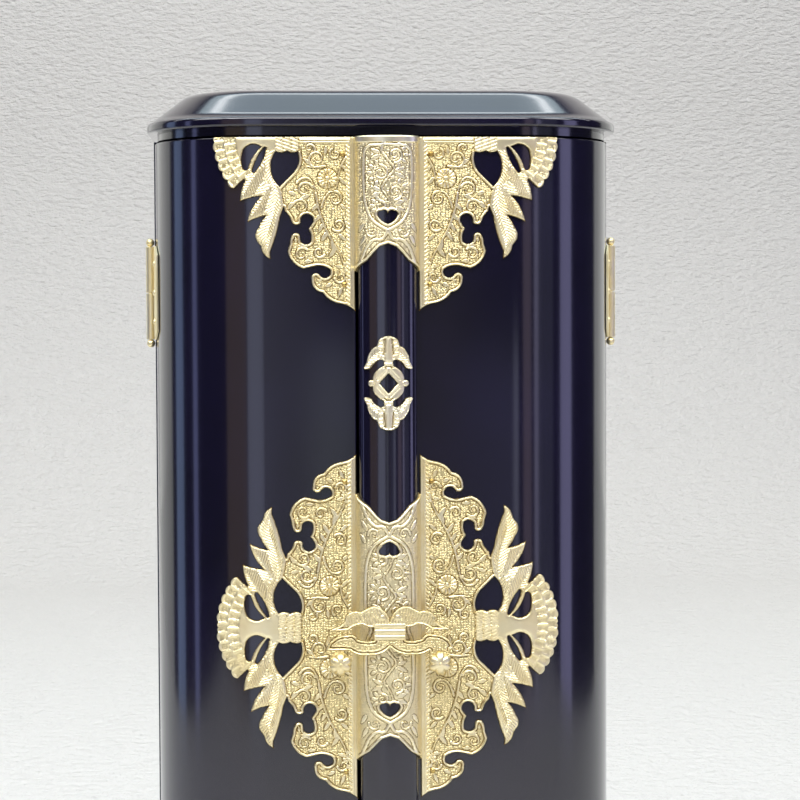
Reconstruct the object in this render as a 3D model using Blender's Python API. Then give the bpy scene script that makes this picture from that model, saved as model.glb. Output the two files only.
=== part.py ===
"""A portable shrine: a black lacquered cabinet with two doors and pierced gilt brass fittings.

Metres, +Z up. The doors face -Y, and the origin is under the middle of the base.
A fitting is drawn flat in millimetres of its own motif, as (run, drop) points: run goes
outwards from its straight edge, and drop goes away from its line of symmetry. It is then
scaled to the fitting's size and bent onto the surface that it is nailed to.
"""

import math

import bmesh
import bpy
from mathutils import Matrix, Vector
from mathutils.geometry import delaunay_2d_cdt

MM = 0.001

# Cabinet
CABINET_WIDTH = 200 * MM
CABINET_DEPTH = 160 * MM
CORNER_RADIUS = 48 * MM
WALL = 8 * MM
OPENING_HEIGHT = 418 * MM
EDGE_BEVEL = 0.6 * MM
CORNER_STEPS = 8

# Lid and base
BAND_HEIGHT = 3.4 * MM
BAND_INSET = 1.0 * MM
LID_OVERHANG = 3.5 * MM
LID_LIP_ROUND = 1.2 * MM
LID_LIP_HEIGHT = 4.4 * MM
LID_NOSE = 1.7 * MM
LID_SLOPE_WIDTH = 12.8 * MM
LID_SLOPE_HEIGHT = 9.9 * MM
LID_CROWN_WIDTH = 7 * MM
LID_CROWN_HEIGHT = 2.5 * MM
LID_CROWN_STEPS = 3
BASE_OVERHANG = 5.0 * MM
BASE_HEIGHT = 22 * MM
BASE_ROUND = 4.5 * MM
BASE_FOOT_CHAMFER = 1.2 * MM
ROUND_STEPS = 4

# Clearances
JOIN_GAP = 0.3 * MM
DOOR_GAP = 0.8 * MM
MEETING_GAP = 1.2 * MM

# Doors and the half-round batten between them
DOOR_WALL = 8 * MM
HINGE_SETBACK = 2 * MM
BATTEN_WIDTH = 24.6 * MM
BATTEN_FLANK = 2.6 * MM
BATTEN_CROWN = 6.2 * MM
BATTEN_STEPS = 7

# Hinges
HINGE_HEIGHT = 41 * MM
HINGE_BARREL_RADIUS = 2.0 * MM
HINGE_LEAF_WIDTH = 15 * MM
HINGE_LEAF_THICKNESS = 0.8 * MM
HINGE_LEAF_EDGE = 1.7 * MM
HINGE_LEAF_CORNER = 4 * MM
HINGE_WEB_SKIN = 0.15 * MM
HINGE_FROM_END = 65.5 * MM
HINGE_PIN_RADIUS = 0.9 * MM
HINGE_PIN_PLAY = 0.1 * MM
HINGE_FINIAL_RADIUS = 1.9 * MM
HINGE_KNUCKLE_GAP = 0.4 * MM
ROUND_SIDES = 8

# Fittings
PLATE = 0.8 * MM
PLATE_RELIEF = 0.7 * MM
FITTING_WIDTH = 59.4 * MM
FITTING_DROP = 73.7 * MM
BATTEN_FITTING_DROP = 57.3 * MM
ORNAMENT_HEIGHT = 39.8 * MM

# Latch and its studs
LATCH_PLATE = 1.2 * MM
LATCH_SPAN = 57 * MM
LATCH_CLEARANCE = 0.5 * MM
LATCH_EYE_RADIUS = 4.4 * MM
STUD_SPACING = 42 * MM
STUD_DROP = 13.8 * MM
STUD_NECK_RADIUS = 1.9 * MM
STUD_NECK_PLAY = 0.35 * MM
STUD_FOOT_RADIUS = 3.6 * MM
STUD_FOOT_HEIGHT = 1.6 * MM
STUD_HEAD_RADIUS = 5.0 * MM
STUD_HEAD_HEIGHT = 4.2 * MM
STUD_PETALS = 6
STUD_PETAL_DEPTH = 0.07
STUD_FOOT_TOP_RADIUS = 2.9 * MM
STUD_HEAD_BACK_RADIUS = 4.3 * MM
STUD_HEAD_BACK = 1.3 * MM
STUD_HEAD_TIP_RADIUS = 1.2 * MM

# The motifs' own sizes, in millimetres, and how finely their arcs are drawn
MOTIF_WIDTH = 59.4
MOTIF_DROP = 73.7
BATTEN_MOTIF_DROP = 57.3
ORNAMENT_MOTIF_HEIGHT = 39.8
LATCH_MOTIF_SPAN = 57.0
MOTIF_WELD = 0.01
ARC_STEP = math.radians(55)
ARC_LEAST = 0.3

# Levels and lines that follow from the sizes above
SHELL_FLOOR = BASE_HEIGHT + BAND_HEIGHT
SHELL_TOP = SHELL_FLOOR + OPENING_HEIGHT
DOOR_FLOOR = SHELL_FLOOR + DOOR_GAP
DOOR_TOP = SHELL_TOP - DOOR_GAP
DOOR_MIDDLE = (DOOR_FLOOR + DOOR_TOP) / 2
FRONT = -CABINET_DEPTH / 2
HINGE_LINE = FRONT + CORNER_RADIUS + HINGE_SETBACK
HINGE_AXIS = CABINET_WIDTH / 2 + JOIN_GAP + HINGE_BARREL_RADIUS + HINGE_LEAF_THICKNESS / 2
BATTEN_HALF = BATTEN_WIDTH / 2
FITTING_START = BATTEN_HALF + MEETING_GAP
STUD_REACH = BATTEN_FLANK + BATTEN_CROWN + PLATE + PLATE_RELIEF + 2 * JOIN_GAP + LATCH_CLEARANCE

BLACK_LACQUER = ((0.006, 0.006, 0.012), 0.06, 0.0)
GILT_BRASS = ((0.86, 0.66, 0.30), 0.28, 1.0)
PALE_BRASS = ((0.88, 0.72, 0.46), 0.24, 1.0)


# Tracks: the lines, seen from above, that walls and fittings follow


class Track:
    """A line seen from above: a point and an outward normal at each run along it.

    It is one half of a symmetrical line, from its middle outwards. A negative run is the
    same point on the other side of the middle.
    """

    def __init__(self, points, normals):
        self.points = [Vector(point) for point in points]
        self.normals = [Vector(normal).normalized() for normal in normals]
        self.runs = [0.0]
        for before, after in zip(self.points, self.points[1:]):
            self.runs.append(self.runs[-1] + (after - before).length)

    def at(self, run, offset=0.0):
        """The point at this run, moved outwards by the offset."""
        side = -1 if run < 0 else 1
        along = min(abs(run), self.runs[-1])
        last = next((i for i, reached in enumerate(self.runs) if reached >= along), 0)
        first = max(last - 1, 0)
        length = self.runs[last] - self.runs[first]
        share = (along - self.runs[first]) / length if length else 0.0
        point = self.points[first].lerp(self.points[last], share)
        normal = self.normals[first].lerp(self.normals[last], share).normalized()
        point = point + normal * offset
        return Vector((side * point.x, point.y))


def cabinet_track():
    """Half the cabinet's outline, from the middle of the front to the middle of the back."""
    flat = CABINET_WIDTH / 2 - CORNER_RADIUS
    deep = CABINET_DEPTH / 2 - CORNER_RADIUS
    points = [(0, FRONT)]
    normals = [(0, -1)]
    for centre, start in (((flat, -deep), -math.pi / 2), ((flat, deep), 0.0)):
        for step in range(CORNER_STEPS + 1):
            turn = start + step / CORNER_STEPS * math.pi / 2
            normal = (math.cos(turn), math.sin(turn))
            points.append((centre[0] + CORNER_RADIUS * normal[0], centre[1] + CORNER_RADIUS * normal[1]))
            normals.append(normal)
    points.append((0, -FRONT))
    normals.append((0, 1))
    return Track(points, normals)


def batten_track():
    """Half the batten's face, from its crown to where its flank meets the door."""
    points = []
    normals = []
    for step in range(BATTEN_STEPS + 1):
        turn = step / BATTEN_STEPS * math.pi / 2
        reach = BATTEN_FLANK + BATTEN_CROWN * math.cos(turn)
        points.append((BATTEN_HALF * math.sin(turn), FRONT - reach))
        normals.append((math.sin(turn) / BATTEN_HALF, -math.cos(turn) / BATTEN_CROWN))
    points.append((BATTEN_HALF, FRONT - JOIN_GAP))
    normals.append((1, 0))
    return Track(points, normals)


CABINET = cabinet_track()
BATTEN = batten_track()
CORNER_START = CABINET.runs[1]
CORNER_RUN = CABINET.runs[1 + CORNER_STEPS] - CORNER_START
HINGE_RUN = CORNER_START + CORNER_RUN + HINGE_SETBACK
HALF_RUN = CABINET.runs[-1]


def corner_runs(start):
    """The runs at which a wall bends round the corner that begins at start."""
    return [start + step / CORNER_STEPS * CORNER_RUN for step in range(CORNER_STEPS + 1)]


# Objects


def world_location(obj):
    """Where an object or empty stands, through its parents."""
    place = Vector((0, 0, 0))
    while obj:
        place += obj.location
        obj = obj.parent
    return place


def pivot(name, place, parent=None):
    """An empty on a joint's axis, for the pieces that turn about it."""
    empty = bpy.data.objects.new(name, None)
    empty.parent = parent
    empty.location = Vector(place) - world_location(parent)
    bpy.context.scene.collection.objects.link(empty)
    return empty


def add(name, solid, finish, parent=None, bevel=0.0):
    """Turns a bmesh in world coordinates into a named object with its own material."""
    bmesh.ops.recalc_face_normals(solid, faces=solid.faces)
    mesh = bpy.data.meshes.new(name)
    solid.to_mesh(mesh)
    solid.free()
    mesh.transform(Matrix.Translation(-world_location(parent)))
    mesh.shade_smooth()
    mesh.set_sharp_from_angle(angle=math.radians(30))
    obj = bpy.data.objects.new(name, mesh)
    obj.parent = parent
    bpy.context.scene.collection.objects.link(obj)
    made = bpy.data.materials.new(name)
    made.use_nodes = True
    shader = made.node_tree.nodes["Principled BSDF"]
    colour, roughness, metallic = finish
    shader.inputs["Base Color"].default_value = (*colour, 1)
    shader.inputs["Roughness"].default_value = roughness
    shader.inputs["Metallic"].default_value = metallic
    mesh.materials.append(made)
    if bevel:
        softened = obj.modifiers.new("softened edges", "BEVEL")
        softened.width = bevel
        softened.segments = 1
        softened.limit_method = "ANGLE"
        softened.angle_limit = math.radians(40)
    return obj


def stack(rings):
    """A closed solid through rings of equal count, with its first and last ring filled."""
    solid = bmesh.new()
    made = [[solid.verts.new(point) for point in ring] for ring in rings]
    count = len(made[0])
    for lower, upper in zip(made, made[1:]):
        for i in range(count):
            j = (i + 1) % count
            solid.faces.new((lower[i], lower[j], upper[j], upper[i]))
    solid.faces.new(made[0])
    solid.faces.new(made[-1])
    return solid


def prism(outline, low, high):
    """A solid with this outline, seen from above, between two levels."""
    return stack([[(x, y, z) for x, y in outline] for z in (low, high)])


def wall(track, runs, thickness, low, high):
    """A wall that follows a track, with its outer face on it."""
    outer = [track.at(run) for run in runs]
    inner = [track.at(run, -thickness) for run in reversed(runs)]
    return prism(outer + inner, low, high)


def loop_points(offset, level):
    """The cabinet's whole outline, moved outwards by the offset, at a level."""
    runs = corner_runs(CORNER_START) + corner_runs(HALF_RUN - CORNER_START - CORNER_RUN)
    right = [CABINET.at(run, offset) for run in runs]
    left = [CABINET.at(-run, offset) for run in reversed(runs)]
    return [(x, y, level) for x, y in right + left]


# Lid, base and shell


def quarter_round(steps=ROUND_STEPS):
    """Cosine and sine pairs through a quarter turn."""
    turns = [step / steps * math.pi / 2 for step in range(steps + 1)]
    return [(math.cos(turn), math.sin(turn)) for turn in turns]


def make_lid():
    """A lid with a sloping edge and a flat top, on a band that closes the cabinet."""
    lip = SHELL_TOP + BAND_HEIGHT
    shoulder = lip + LID_LIP_HEIGHT
    crown = shoulder + LID_SLOPE_HEIGHT
    slope_end = LID_OVERHANG - LID_NOSE - LID_SLOPE_WIDTH
    profile = [(-BAND_INSET, SHELL_TOP), (-BAND_INSET, lip), (LID_OVERHANG - LID_LIP_ROUND, lip)]
    profile += [(LID_OVERHANG, lip + LID_LIP_ROUND), (LID_OVERHANG, shoulder - LID_NOSE)]
    profile.append((LID_OVERHANG - LID_NOSE, shoulder))
    for step in range(LID_CROWN_STEPS + 1):
        share = step / LID_CROWN_STEPS
        rise = LID_CROWN_HEIGHT * (1 - (1 - share) ** 2)
        profile.append((slope_end - LID_CROWN_WIDTH * share, crown + rise))
    return stack([loop_points(offset, level) for offset, level in profile])


def make_base():
    """A plinth with a rounded upper edge and a flat underside, on which the cabinet stands."""
    profile = [(BASE_OVERHANG - BASE_FOOT_CHAMFER, 0), (BASE_OVERHANG, BASE_FOOT_CHAMFER)]
    for across, up in quarter_round():
        offset = BASE_OVERHANG - BASE_ROUND * (1 - across)
        profile.append((offset, BASE_HEIGHT - BASE_ROUND * (1 - up)))
    profile.append((-BAND_INSET, BASE_HEIGHT))
    profile.append((-BAND_INSET, SHELL_FLOOR))
    return stack([loop_points(offset, level) for offset, level in profile])


def make_shell():
    """The cabinet's two sides and back in one bent wall, open where the doors are."""
    start = HINGE_RUN + DOOR_GAP / 2
    right = [start] + corner_runs(HALF_RUN - CORNER_START - CORNER_RUN)
    runs = right + [-run for run in reversed(right)]
    return wall(CABINET, runs, WALL, SHELL_FLOOR + JOIN_GAP, SHELL_TOP - JOIN_GAP)


def make_door(side):
    """A door: half the front and the whole corner. The right one carries the batten."""
    inner = -BATTEN_HALF if side > 0 else BATTEN_HALF + MEETING_GAP
    runs = [inner] + corner_runs(CORNER_START) + [HINGE_RUN - DOOR_GAP / 2]
    return wall(CABINET, [side * run for run in runs], DOOR_WALL, DOOR_FLOOR, DOOR_TOP)


def batten_runs():
    """The runs at which the batten's face bends, from one flank to the other."""
    return [-run for run in reversed(BATTEN.runs[1:])] + BATTEN.runs


def make_batten():
    """The half-round batten that closes the joint between the doors."""
    return prism([BATTEN.at(run) for run in batten_runs()], DOOR_FLOOR, DOOR_TOP)


# Outlines with arcs


def bulged(nodes):
    """Points round a closed outline of (run, drop, bulge) nodes.

    A bulge is the height of the arc to the next node, as a share of that chord. It is
    positive where the arc swells to the left of the way there.
    """
    outline = []
    for (x, y, bulge), (next_x, next_y, _) in zip(nodes, nodes[1:] + nodes[:1]):
        start = Vector((x, y))
        chord = Vector((next_x, next_y)) - start
        outline.append(start)
        half_turn = 2 * math.atan(2 * abs(bulge))
        count = max(1, round(2 * half_turn / ARC_STEP))
        if abs(bulge) * chord.length < ARC_LEAST or count == 1:
            continue
        radius = chord.length / 2 / math.sin(half_turn)
        outward = Vector((-chord.y, chord.x)).normalized() * math.copysign(1, bulge)
        centre = start + chord / 2 - outward * radius * math.cos(half_turn)
        forward = chord.normalized()
        for step in range(1, count):
            turn = half_turn * (2 * step / count - 1)
            outline.append(centre + radius * (forward * math.sin(turn) + outward * math.cos(turn)))
    return outline


def ring(centre, radius, sides=ROUND_SIDES):
    """A circle as a closed outline."""
    turns = [step / sides * math.tau for step in range(sides)]
    return [Vector((centre[0] + radius * math.cos(t), centre[1] + radius * math.sin(t))) for t in turns]


def mirrored(outline, run=1, drop=1):
    """The outline turned over in its run, its drop or both."""
    return [Vector((point.x * run, point.y * drop)) for point in outline]


# The openwork motif, in millimetres. Its straight edge is at run 0.

FAN_CENTRE = 27.6
FAN_INNER = 21.8
FAN_OUTER = 31.8
FAN_HALF_ANGLE = math.radians(43)
FAN_PETALS = 11
FAN_SCALLOP = 0.24
PETAL_RIB_FROM_INNER = 2.5
PETAL_RIB_FROM_OUTER = 1.0
COLLAR_IN = 23.9
COLLAR_OUT = 33.1
COLLAR_DROP = 6.0
COLLAR_LAP = 0.4
WEB_OUT = 50.5

SCROLL_PLATE = [
    (0, 0, 0),
    (0, 73.7, -0.08),
    (6.4, 70.5, 0.11),
    (13.8, 65.8, 0.2),
    (18.6, 60.3, 0.42),
    (15.0, 58.3, -0.5),
    (10.7, 56.0, -0.12),
    (18.2, 54.9, 0),
    (21.8, 55.7, 0.14),
    (28.6, 48.3, 0),
    (27.6, 45.2, 0.08),
    (26.7, 41.6, 0.3),
    (23.3, 41.6, 0),
    (23.1, 43.9, -0.27),
    (18.7, 44.4, -0.1),
    (19.7, 38.8, 0),
    (17.9, 36.4, -0.75),
    (22.8, 36.2, 0.26),
    (26.7, 36.2, -0.08),
    (29.5, 31.6, 0),
    (32.2, 21.5, 0),
    (26.3, 15.7, -0.14),
    (COLLAR_IN, 6.9, 0),
    (COLLAR_IN, 0, 0),
]
COLLAR = [
    (COLLAR_IN - COLLAR_LAP, 0, 0),
    (COLLAR_IN - COLLAR_LAP, COLLAR_DROP, 0.16),
    ((COLLAR_IN + COLLAR_OUT) / 2, COLLAR_DROP, 0.16),
    (COLLAR_OUT + COLLAR_LAP, COLLAR_DROP, 0),
    (COLLAR_OUT + COLLAR_LAP, 0, 0),
]
FROND = [
    (COLLAR_OUT, 0, 0),
    (COLLAR_OUT, 5.9, -0.19),
    (31.9, 20.9, 0),
    (30.3, 24.5, 0),
    (30.0, 29.5, 0),
    (31.6, 33.6, 0.03),
    (36.0, 48.6, 0),
    (35.8, 51.6, 0.14),
    (39.8, 46.2, 0),
    (41.7, 43.6, 0.14),
    (40.8, 38.5, 0.05),
    (37.6, 33.3, -0.05),
    (45.3, 36.0, 0.08),
    (39.4, 25.0, -0.03),
    (48.3, 27.0, 0.06),
    (46.2, 18.4, 0),
    (49.5, 14.0, 0),
    (WEB_OUT, 0, 0),
]
OUTER_EYE = [
    (39.3, 4.3, -0.08),
    (45.0, 13.9, 0.25),
    (47.2, 13.3, 0.08),
    (46.9, 5.6, 0.17),
    (41.3, 3.4, 0),
]
INNER_EYE = [
    (37.3, 4.8, 0.07),
    (42.4, 15.3, 0.3),
    (43.2, 14.0, 0.05),
    (38.5, 4.9, 0.3),
]
LEAF_RIBS = [
    [(43.5, 19.5), (46.3, 23.4)],
    [(38.8, 28.0), (43.2, 33.2)],
    [(33.8, 25.0), (35.3, 34.0), (37.6, 44.2), (36.9, 48.0)],
]
SCROLL_HALF_WIDTH = 1.2
SCROLL_STEM = [(3.0, 5.0), (8.0, 20.0), (14.0, 29.0), (13.0, 42.0), (5.5, 52.0), (4.0, 66.0)]
CURL_STEPS = 5
CURL_END = 0.3
# Each curl's centre, radius, and where it starts and how far it turns, in degrees
SCROLL_CURLS = [
    ((17.5, 17.5), 6.0, 150, 330),
    ((22.5, 27.5), 4.6, 170, -330),
    ((7.0, 37.0), 4.6, 20, 330),
]


def fan_half():
    """Half of the scalloped fan, from its middle petal to its end."""
    centre = Vector((FAN_CENTRE, 0))
    petal = 2 * FAN_HALF_ANGLE / FAN_PETALS
    turns = [0.0] + [petal * (step + 0.5) for step in range((FAN_PETALS + 1) // 2)]
    outer = [centre + FAN_OUTER * Vector((math.cos(turn), math.sin(turn))) for turn in turns]
    inner = [centre + FAN_INNER * Vector((math.cos(turn), math.sin(turn))) for turn in turns[::2]]
    nodes = [(point.x, point.y, 0) for point in inner]
    nodes += [(point.x, point.y, FAN_SCALLOP) for point in reversed(outer)]
    nodes[-1] = (*nodes[-1][:2], 0)
    return bulged(nodes)


def petal_ribs():
    """One raised line along each petal of half the fan."""
    centre = Vector((FAN_CENTRE, 0))
    petal = 2 * FAN_HALF_ANGLE / FAN_PETALS
    ribs = []
    for step in range(1, (FAN_PETALS + 1) // 2):
        aim = Vector((math.cos(petal * step), math.sin(petal * step)))
        start = centre + aim * (FAN_INNER + PETAL_RIB_FROM_INNER)
        ribs.append([start, centre + aim * (FAN_OUTER - PETAL_RIB_FROM_OUTER)])
    return ribs


def curl(centre, radius, start, turn):
    """A tendril that winds in towards its centre. Its angles are in degrees."""
    points = []
    for step in range(CURL_STEPS + 1):
        share = step / CURL_STEPS
        angle = math.radians(start + turn * share)
        reach = radius * (1 - (1 - CURL_END) * share)
        points.append(Vector(centre) + reach * Vector((math.cos(angle), math.sin(angle))))
    return points


def scroll_ribs():
    """The main tendrils that stand up from the plate."""
    return [[Vector(point) for point in SCROLL_STEM]] + [curl(*values) for values in SCROLL_CURLS]


def rib_guides(rib, half_width):
    """A rib's crest and its two feet, as lines for the mesh to follow."""
    sides = []
    for reach in (-half_width, 0.0, half_width) if half_width else (0.0,):
        line = []
        for i, point in enumerate(rib):
            ahead = Vector(rib[min(i + 1, len(rib) - 1)]) - Vector(rib[max(i - 1, 0)])
            across = Vector((-ahead.y, ahead.x)).normalized()
            line.append(Vector(point) + across * reach)
        sides.append(line)
    return sides


def height_near(point, rib, half_width):
    """1 on the rib's crest, falling evenly to 0 at its feet, or at once if it has none."""
    reach = half_width or MOTIF_WELD * 2
    nearest = reach
    for start, end in zip(rib, rib[1:]):
        start = Vector(start)
        along = Vector(end) - start
        share = max(0.0, min(1.0, (point - start).dot(along) / along.length_squared))
        nearest = min(nearest, (point - start - along * share).length)
    return 1 - nearest / reach if half_width else float(nearest < reach)


# Pierced plates


def counter_clockwise(outline):
    """The outline's points, in the order that the triangulation needs."""
    area = sum(a.x * b.y - b.x * a.y for a, b in zip(outline, outline[1:] + outline[:1]))
    return list(outline) if area > 0 else list(reversed(outline))


def cut_sheet(shapes, holes, guides):
    """Triangles over the shapes joined together, less the holes, with edges along the guides."""
    points = []
    faces = []
    edges = []
    for outline in shapes + holes:
        faces.append(list(range(len(points), len(points) + len(outline))))
        points += counter_clockwise(outline)
    for line in guides:
        first = len(points)
        points += [Vector(point) for point in line]
        edges += [(i, i + 1) for i in range(first, len(points) - 1)]
    found = delaunay_2d_cdt(points, edges, faces, 0, MOTIF_WELD, True)
    kept = []
    for face, owners in zip(found[2], found[5]):
        inside = any(owner < len(shapes) for owner in owners)
        if inside and all(owner < len(shapes) for owner in owners):
            kept.append(face)
    return found[0], kept


def backing(points, rims, bends):
    """Triangles between the rims, for a plate's plain back, as triples of their corners."""
    ends = sorted({i for rim in rims for i in rim})
    order = {i: n for n, i in enumerate(ends)}
    corners = [points[i] for i in ends]
    edges = [(order[start], order[end]) for start, end in rims]
    for line in bends:
        edges.append((len(corners), len(corners) + 1))
        corners += line
    found = delaunay_2d_cdt(corners, edges, [], 0, MOTIF_WELD, True)
    where = [tuple(corners[old[0]]) if old else tuple(new) for new, old in zip(found[0], found[3])]
    triangles = []
    for face in found[2]:
        middle = sum((Vector(where[i]) for i in face), Vector((0, 0))) / len(face)
        if within(middle, [(points[start], points[end]) for start, end in rims]):
            triangles.append([where[i] for i in face])
    return triangles


def within(point, sides):
    """Whether a point is inside closed outlines given by their sides."""
    crossings = 0
    for start, end in sides:
        if (start.y > point.y) != (end.y > point.y):
            share = (point.y - start.y) / (end.y - start.y)
            crossings += point.x < start.x + share * (end.x - start.x)
    return crossings % 2 == 1


def pierced_plate(shapes, holes, bends, ribs, place, thickness):
    """A plate cut to the shapes and bent by place(point, height), with raised ribs.

    ribs are (line, half width, height) in the motif's units and metres.
    """
    crests = [line for rib, half_width, _ in ribs for line in rib_guides(rib, half_width)]
    points, faces = cut_sheet(shapes, holes, bends + crests)
    sides = {side for face in faces for side in zip(face, face[1:] + face[:1])}
    rims = sorted(side for side in sides if side[::-1] not in sides)
    plate = bmesh.new()

    def height(point):
        return thickness + max((h * height_near(point, rib, half) for rib, half, h in ribs), default=0.0)

    used = sorted({i for face in faces for i in face})
    front = {i: plate.verts.new(place(points[i], height(points[i]))) for i in used}
    for face in faces:
        plate.faces.new([front[i] for i in face])
    back = {}
    for face in backing(points, rims, bends):
        for corner in face:
            if corner not in back:
                back[corner] = plate.verts.new(place(Vector(corner), 0.0))
        plate.faces.new([back[corner] for corner in reversed(face)])
    for start, end in rims:
        below = [back[tuple(points[i])] for i in (start, end)]
        plate.faces.new((*below, front[end], front[start]))
    return plate


# Brass fittings


def door_place(side, level, way):
    """Bends a door's motif onto its outer face: drop runs from the level, upwards if way is 1."""

    def place(point, height):
        run = side * (FITTING_START + point.x * FITTING_WIDTH / MOTIF_WIDTH)
        x, y = CABINET.at(run, JOIN_GAP + height)
        return (x, y, level + way * point.y * FITTING_DROP / MOTIF_DROP)

    return place


def bend_lines(reach_up):
    """Lines down the motif where it bends round the corner."""
    lines = []
    for run in corner_runs(CORNER_START):
        x = (run - FITTING_START) * MOTIF_WIDTH / FITTING_WIDTH
        if 0 < x < MOTIF_WIDTH:
            lines.append([Vector((x, -reach_up)), Vector((x, MOTIF_DROP + 1))])
    return lines


def quarter_motif():
    """The shapes, holes and ribs of one quarter of the openwork."""
    shapes = [bulged(SCROLL_PLATE), bulged(COLLAR), bulged(FROND), fan_half()]
    holes = [bulged(OUTER_EYE), bulged(INNER_EYE)]
    ribs = [(rib, 0, PLATE_RELIEF) for rib in petal_ribs()]
    ribs += [([Vector(point) for point in rib], 0, PLATE_RELIEF) for rib in LEAF_RIBS]
    ribs += [(rib, SCROLL_HALF_WIDTH, PLATE_RELIEF) for rib in scroll_ribs()]
    return shapes, holes, ribs


def make_corner_fitting(side, level, way):
    """One quarter of the openwork, along the top or the bottom of a door."""
    shapes, holes, ribs = quarter_motif()
    return pierced_plate(shapes, holes, bend_lines(1), ribs, door_place(side, level, way), PLATE)


def make_middle_fitting(side):
    """Two quarters of the openwork, joined along their line of symmetry."""
    shapes, holes, ribs = quarter_motif()
    shapes += [mirrored(outline, drop=-1) for outline in shapes]
    holes += [mirrored(outline, drop=-1) for outline in holes]
    ribs += [(mirrored(rib, drop=-1), half, height) for rib, half, height in ribs]
    place = door_place(side, DOOR_MIDDLE, 1)
    return pierced_plate(shapes, holes, bend_lines(MOTIF_DROP + 1), ribs, place, PLATE)


BATTEN_WRAP = 0.97
BATTEN_MOTIF_HALF = 12.3
BATTEN_RIB_HALF_WIDTH = 0.9
BATTEN_CURLS = [((3.4, 12.0), 4.2, 200, 300), ((-3.6, 22.0), 4.0, -20, 300)]
BATTEN_EDGE = [(0, 45.4, 0), (2.4, 46.6, 0), (3.6, 48.2, -0.06), (6.4, 52.4, 0.06), (10.9, 56.2, 0)]
HEART = [
    (0, 37.1, 0.12),
    (4.1, 33.4, 0.3),
    (2.6, 31.7, 0.3),
    (0, 32.8, 0.3),
    (-2.6, 31.7, 0.3),
    (-4.1, 33.4, 0.12),
]


def batten_half_motif():
    """The fitting on the batten, from its line of symmetry to its pointed ends."""
    half = BATTEN.runs[-1] / MM * BATTEN_WRAP
    stretch = half / BATTEN_MOTIF_HALF
    right = [(x * stretch, drop, bulge) for x, drop, bulge in BATTEN_EDGE]
    left = [(-x, drop, bulge) for x, drop, bulge in reversed(right[1:])]
    nodes = [(-half, 0, 0), (-half, BATTEN_MOTIF_DROP, 0)] + left + right
    nodes += [(half, BATTEN_MOTIF_DROP, 0), (half, 0, 0)]
    outline = [Vector(node[:2]) for node in nodes]
    ribs = [(curl(*values), BATTEN_RIB_HALF_WIDTH, PLATE_RELIEF) for values in BATTEN_CURLS]
    return [outline], [bulged(HEART)], ribs


def batten_place(level, way):
    """Bends the batten's motif over its half-round face."""

    def place(point, height):
        x, y = BATTEN.at(point.x * MM, JOIN_GAP + height)
        return (x, y, level + way * point.y * BATTEN_FITTING_DROP / BATTEN_MOTIF_DROP)

    return place


def batten_bends(reach_up):
    """Lines down a fitting on the batten, where the batten's face bends."""
    ends = (-reach_up, BATTEN_MOTIF_DROP + 1)
    return [[Vector((run / MM, end)) for end in ends] for run in batten_runs()[1:-1]]


def make_batten_fitting(level, way, whole=False):
    """A cap on one end of the batten or, whole, the fitting behind the latch."""
    shapes, holes, ribs = batten_half_motif()
    if whole:
        shapes += [mirrored(outline, drop=-1) for outline in shapes]
        holes += [mirrored(outline, drop=-1) for outline in holes]
        ribs += [(mirrored(rib, drop=-1), half, height) for rib, half, height in ribs]
    bends = batten_bends(BATTEN_MOTIF_DROP + 1 if whole else 1)
    return pierced_plate(shapes, holes, bends, ribs, batten_place(level, way), PLATE)


ORNAMENT_QUARTER = [
    (0, 19.9, 0.0),
    (0, 4.3, 0.0),
    (3.7, 0, 0.0),
    (6.6, 0, 0.0),
    (6.5, 2.0, -0.1),
    (5.1, 5.1, -0.05),
    (2.1, 7.4, 0.0),
    (1.9, 9.2, 0.2),
    (3.6, 9.8, 0.1),
    (6.8, 6.8, -0.1),
    (8.9, 5.9, -0.2),
    (10.4, 6.5, 0.0),
    (8.9, 9.2, -0.08),
    (7.4, 13.4, -0.12),
    (4.9, 15.6, 0.0),
    (4.4, 17.0, -0.15),
    (2.5, 19.2, -0.1),
]
ORNAMENT_BALL_REACH = 7.0
ORNAMENT_BALL_RADIUS = 1.5
ORNAMENT_CREST = [(0, 10.5), (0, 17.5)]
ORNAMENT_WING = [(4.0, 13.0), (8.6, 7.8)]
FINE_SIDES = 2 * ROUND_SIDES
SEAM_LAP = 0.25


def make_ornament(level):
    """The small winged ornament on the batten between two larger fittings."""
    quarter = []
    for point in bulged(ORNAMENT_QUARTER):
        lap = Vector((float(point.x == 0), float(point.y == 0))) * SEAM_LAP
        quarter.append(point - lap)
    shapes = [mirrored(quarter, run, drop) for run in (1, -1) for drop in (1, -1)]
    shapes += [ring((side * ORNAMENT_BALL_REACH, 0), ORNAMENT_BALL_RADIUS) for side in (1, -1)]
    scale = ORNAMENT_HEIGHT / ORNAMENT_MOTIF_HEIGHT

    def place(point, height):
        x, y = BATTEN.at(point.x * scale, JOIN_GAP + height)
        return (x, y, level + point.y * scale)

    crest = [Vector(point) for point in ORNAMENT_CREST]
    wing = [Vector(point) for point in ORNAMENT_WING]
    lines = []
    for drop in (1, -1):
        lines += [mirrored(crest, 1, drop), mirrored(wing, 1, drop), mirrored(wing, -1, drop)]
    ribs = [(line, 0, PLATE_RELIEF) for line in lines]
    return pierced_plate(shapes, [], batten_bends(MOTIF_DROP), ribs, place, PLATE)


# Latch and studs

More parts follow.
